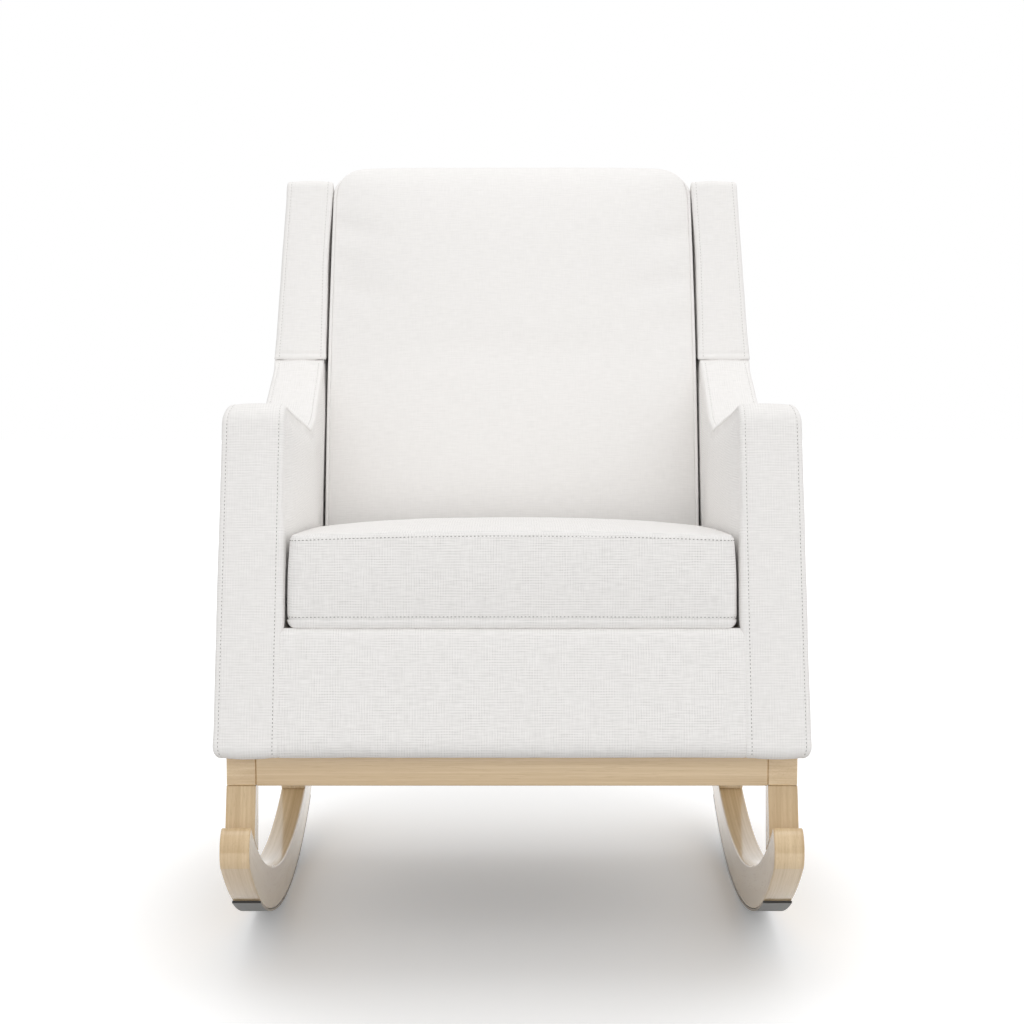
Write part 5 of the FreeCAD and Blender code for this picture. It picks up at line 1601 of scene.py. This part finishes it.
@dataclass
class RockingBase:
    """The wooden base: rockers, legs and rails with eased edges, and the glide strips."""

    ease: float = 2.0 * MM
    strip_ease: float = 0.5 * MM
    shortest_edge: float = 4.0 * MM
    sharp_edge: float = math.radians(40.0)
    flat_edge: float = math.radians(1.0)
    crease: float = math.radians(12.0)
    arc_centre: tuple[float, float] = (0.008, 0.800)
    arc_step: float = math.radians(2.5)
    facing: float = 0.6

    def build(self) -> None:
        """Make each wooden member from its CAD node, and the strips."""
        members = {"base_front_rail": Grain.ACROSS, "base_rear_rail": Grain.ACROSS}
        for side in Side:
            members["base_side_rail_" + side.label] = Grain.FORE_AND_AFT
            members["front_leg_" + side.label] = Grain.UPRIGHT
            members["rear_leg_" + side.label] = Grain.UPRIGHT
        for node, grain in members.items():
            wood = BASE_WOODS[grain]
            finish_piece(self.eased_copy(node, "_wood", wood, self.ease), "chair", wood, node)
        for side in Side:
            self.rocker("rocker_" + side.label)
            self.strip("glide_strip_" + side.label)

    def eased_copy(self, node: str, ending: str, finish: Finish, ease: float) -> Piece:
        """A copy of a CAD node with its long edges eased.

        Args:
            node: the node's name.
            ending: what the copy's name adds to it.
            finish: the copy's finish.
            ease: the width of the eased edge.
        Returns:
            The new piece.
        """
        work = bmesh.new()
        work.from_mesh(frame["nodes"][node].data)
        bmesh.ops.remove_doubles(work, verts=work.verts, dist=1e-5)
        bmesh.ops.dissolve_limit(work, angle_limit=self.flat_edge, verts=work.verts, edges=work.edges)
        sharp = [edge for edge in work.edges if len(edge.link_faces) == 2
                 and edge.calc_face_angle() > self.sharp_edge and edge.calc_length() > self.shortest_edge]
        bmesh.ops.bevel(work, geom=sharp, offset=ease, segments=3, profile=0.5, affect="EDGES",
                        clamp_overlap=True)
        mesh = bpy.data.meshes.new(node + ending)
        work.to_mesh(mesh)
        work.free()
        mesh.shade_smooth()
        mesh.materials.clear()
        mesh.materials.append(finish.material())
        mesh.set_sharp_from_angle(angle=self.crease)
        piece = add_object(node + ending, mesh)
        piece.modifiers.new("Even shade", "WEIGHTED_NORMAL").keep_sharp = True
        settle(piece)
        return piece

    def rocker(self, node: str) -> None:
        """Make a bent rocker whose grain follows its curve up into the nose.

        Args:
            node: the rocker's CAD node.
        """
        piece = self.eased_copy(node, "_wood", BENT_WOOD, self.ease)
        points = vertices_of(piece)
        reach = points[:, 1:] - np.array(self.arc_centre)
        far = np.linalg.norm(reach, axis=1)
        turn = np.arctan2(reach[:, 0], -reach[:, 1])
        bins = np.round(turn / self.arc_step).astype(int)
        steps = np.unique(bins)
        sole = [far[bins == number].max() for number in steps]
        depth = np.interp(turn, steps * self.arc_step, sole) - far
        give_vectors(piece.data, "grain", np.column_stack([turn * self.arc_centre[1], depth, points[:, 0]]))
        finish_piece(piece, "chair", BENT_WOOD, node)

    def strip(self, node: str) -> None:
        """Make a grey glide strip with pale sides and a dark front end.

        Args:
            node: the strip's CAD node.
        """
        piece = self.eased_copy(node, "_felt", STRIP_SOLE, self.strip_ease)
        piece.data.materials.append(STRIP_EDGE.material())
        piece.data.materials.append(STRIP_SIDE.material())
        for polygon in piece.data.polygons:
            aside = abs(polygon.normal.x) > self.facing
            polygon.material_index = 1 if polygon.normal.y < -self.facing else 2 if aside else 0
        finish_piece(piece, "chair", STRIP_SOLE, node)


def dress_hidden_nodes() -> None:
    """Give every CAD node that stays its procedural material."""
    kinds: dict[tuple[str, ...], Finish] = {
        ("side_frame", "wing_frame"): PLYWOOD, ("leg_dowels", "rail_dowels"): DOWEL_WOOD,
        ("base_bolts", "bolt_washers", "frame_screws", "sinuous_springs", "spring_clips",
         "zip_slider"): STEEL,
        ("threaded_inserts",): BRASS, ("back_webbing",): JUTE}
    for node, piece in frame["nodes"].items():
        found = [finish for names, finish in kinds.items() if node.startswith(names)]
        piece.data.materials.clear()
        piece.data.materials.append((found or [FRAME_WOOD])[0].material())


# Studio

@dataclass
class Studio:
    """A white floor, soft light from all round that leans to the right, and the photograph's camera."""

    lens: float = 72.0
    eye: Triple = (0.0, -2.741, 0.801)
    pitch: float = 5.91
    sky: float = 0.93
    side_dim: float = 0.24
    side_lean: float = 0.13
    front_gain: float = 0.56
    mirrored_low: float = 0.3
    lamp_size: float = 3.0
    lamp_power: float = 12.5
    lamp_place: Triple = (0.0, 0.7, 3.2)
    lamp_tilt: float = 10.0
    floor_half: float = 9.0
    floor_level: float = -0.4 * MM
    bounce: tuple[float, ...] = (0.62, 0.62, 0.62, 1.0)
    white: tuple[float, ...] = (0.98, 0.98, 0.98, 1.0)
    light_colour: tuple[float, ...] = (1.0, 1.0, 1.0, 1.0)
    # Painted shadow on the floor: its glow is weaker in front of and round the chair than far from it.
    front_glow: float = 0.05
    glow: float = 0.15
    far_glow: float = 0.30
    shade_reach: Triple = (0.45, 0.75, 1.0)
    shade_front: tuple[float, float] = (-0.46, -0.18)
    shade_edge: tuple[float, float] = (0.7, 1.35)

    def build(self) -> None:
        """Make the camera, the light and the floor."""
        scene = bpy.context.scene
        scene.view_settings.view_transform = "Standard"
        camera = bpy.data.cameras.new("camera")
        camera.lens = self.lens
        camera.sensor_width = 36.0
        scene.camera = add_object("camera", camera)
        scene.camera.location = self.eye
        scene.camera.rotation_euler = (math.radians(90.0 - self.pitch), 0.0, 0.0)
        lamp = bpy.data.lights.new("overhead softbox", "AREA")
        lamp.shape = "RECTANGLE"
        lamp.size = lamp.size_y = self.lamp_size
        lamp.energy = self.lamp_power
        softbox = add_object("overhead softbox", lamp)
        softbox.location = self.lamp_place
        softbox.rotation_euler = (math.radians(self.lamp_tilt), 0.0, 0.0)
        self.world()
        self.floor()

    def world(self) -> None:
        """A world that lights the chair softly and shows as white."""
        world = bpy.data.worlds.new("Soft studio")
        bpy.context.scene.world = world
        graph = cleared(world)
        way = graph.add("ShaderNodeTexCoord").outputs["Generated"]
        x, y, z = graph.add("ShaderNodeSeparateXYZ", {0: way}).outputs
        path = graph.add("ShaderNodeLightPath").outputs
        ahead = graph.calc("MAXIMUM", graph.calc("MULTIPLY", y, -1.0), 0.0)
        level = graph.calc("MULTIPLY_ADD", graph.calc("ABSOLUTE", x), -self.side_dim, self.sky)
        level = graph.calc("MULTIPLY_ADD", x, self.side_lean, level)
        level = graph.calc("MULTIPLY_ADD", graph.calc("MULTIPLY", ahead, ahead), self.front_gain, level)
        behind = graph.calc("MAXIMUM", graph.calc("ABSOLUTE", z), y)
        mirrored = graph.calc("MULTIPLY_ADD", behind, 1.0 - self.mirrored_low, self.mirrored_low)
        other = graph.between(path["Is Glossy Ray"], level, mirrored)
        clear = graph.calc("MAXIMUM", path["Is Camera Ray"], path["Is Transmission Ray"])
        back = graph.add("ShaderNodeBackground", {"Color": self.light_colour,
                                                  "Strength": graph.between(clear, other, 1.0)})
        graph.add("ShaderNodeOutputWorld", {"Surface": back.outputs[0]})

    def floor(self) -> None:
        """A wide white floor that keeps the chair's shadow and is bright only to the eye. Its glow paints
        part of that shadow: it is weakest just in front of the chair and strongest far from it.
        """
        half, level = self.floor_half, self.floor_level
        mesh = bpy.data.meshes.new("studio_floor")
        corners = [(x * half, y * half, level) for x, y in ((-1, -1), (1, -1), (1, 1), (-1, 1))]
        mesh.from_pydata(corners, [], [[0, 1, 2, 3]])
        paint = bpy.data.materials.new("White studio floor")
        graph = cleared(paint)
        path = graph.add("ShaderNodeLightPath").outputs
        shiny = graph.calc("MAXIMUM", path["Is Glossy Ray"], path["Is Transmission Ray"])
        seen = graph.calc("MAXIMUM", path["Is Camera Ray"], shiny)
        matt = graph.add("ShaderNodeBsdfDiffuse", {"Color": graph.blend(seen, self.bounce, self.white)})
        place = graph.place()
        share = graph.vector("DIVIDE", place, self.shade_reach)
        away = graph.add("ShaderNodeVectorMath", {0: share}, operation="LENGTH").outputs["Value"]
        ahead = graph.add("ShaderNodeSeparateXYZ", {0: place}).outputs[1]
        # Painted shadow: less glow just in front of the chair, more with distance from it.
        near = graph.mapped(ahead, self.shade_front, self.front_glow, self.glow, "SMOOTHSTEP")
        glow = graph.mapped(away, self.shade_edge, near, self.far_glow, "SMOOTHSTEP")
        painted_floor_glow = graph.add("ShaderNodeEmission", {"Color": self.light_colour,
                                                "Strength": graph.calc("MULTIPLY", seen, glow)})
        both = graph.add("ShaderNodeAddShader", {0: matt.outputs[0], 1: painted_floor_glow.outputs[0]})
        graph.add("ShaderNodeOutputMaterial", {"Surface": both.outputs[0]})
        mesh.materials.append(paint)
        add_object("studio_floor", mesh)


def main() -> None:
    """Build the studio and the chair's pieces in order."""
    logging.basicConfig(level=logging.INFO, format="%(name)s: %(message)s")
    Studio().build()
    dress_hidden_nodes()
    RockingBase().build()
    front_seams: list[SeamLine] = []
    top_seams: list[SeamLine] = []
    for side in Side:
        front, top = Arm(side).build()
        front_seams += front
        top_seams += top + Wing(side).build()
    BodyPanels().build()
    BackCushion().build()
    cushion_seams = SeatCushion().build()
    Topstitch(THREAD).sew("chair_topstitch", "chair", front_seams)
    # The stitches over the arm tops and wings use the thread with painted light.
    Topstitch(LIT_THREAD).sew("chair_top_topstitch", "chair", top_seams)
    Topstitch(THREAD).sew("cushion_topstitch", "cushion", cushion_seams)


if __name__ == "__main__":
    main()
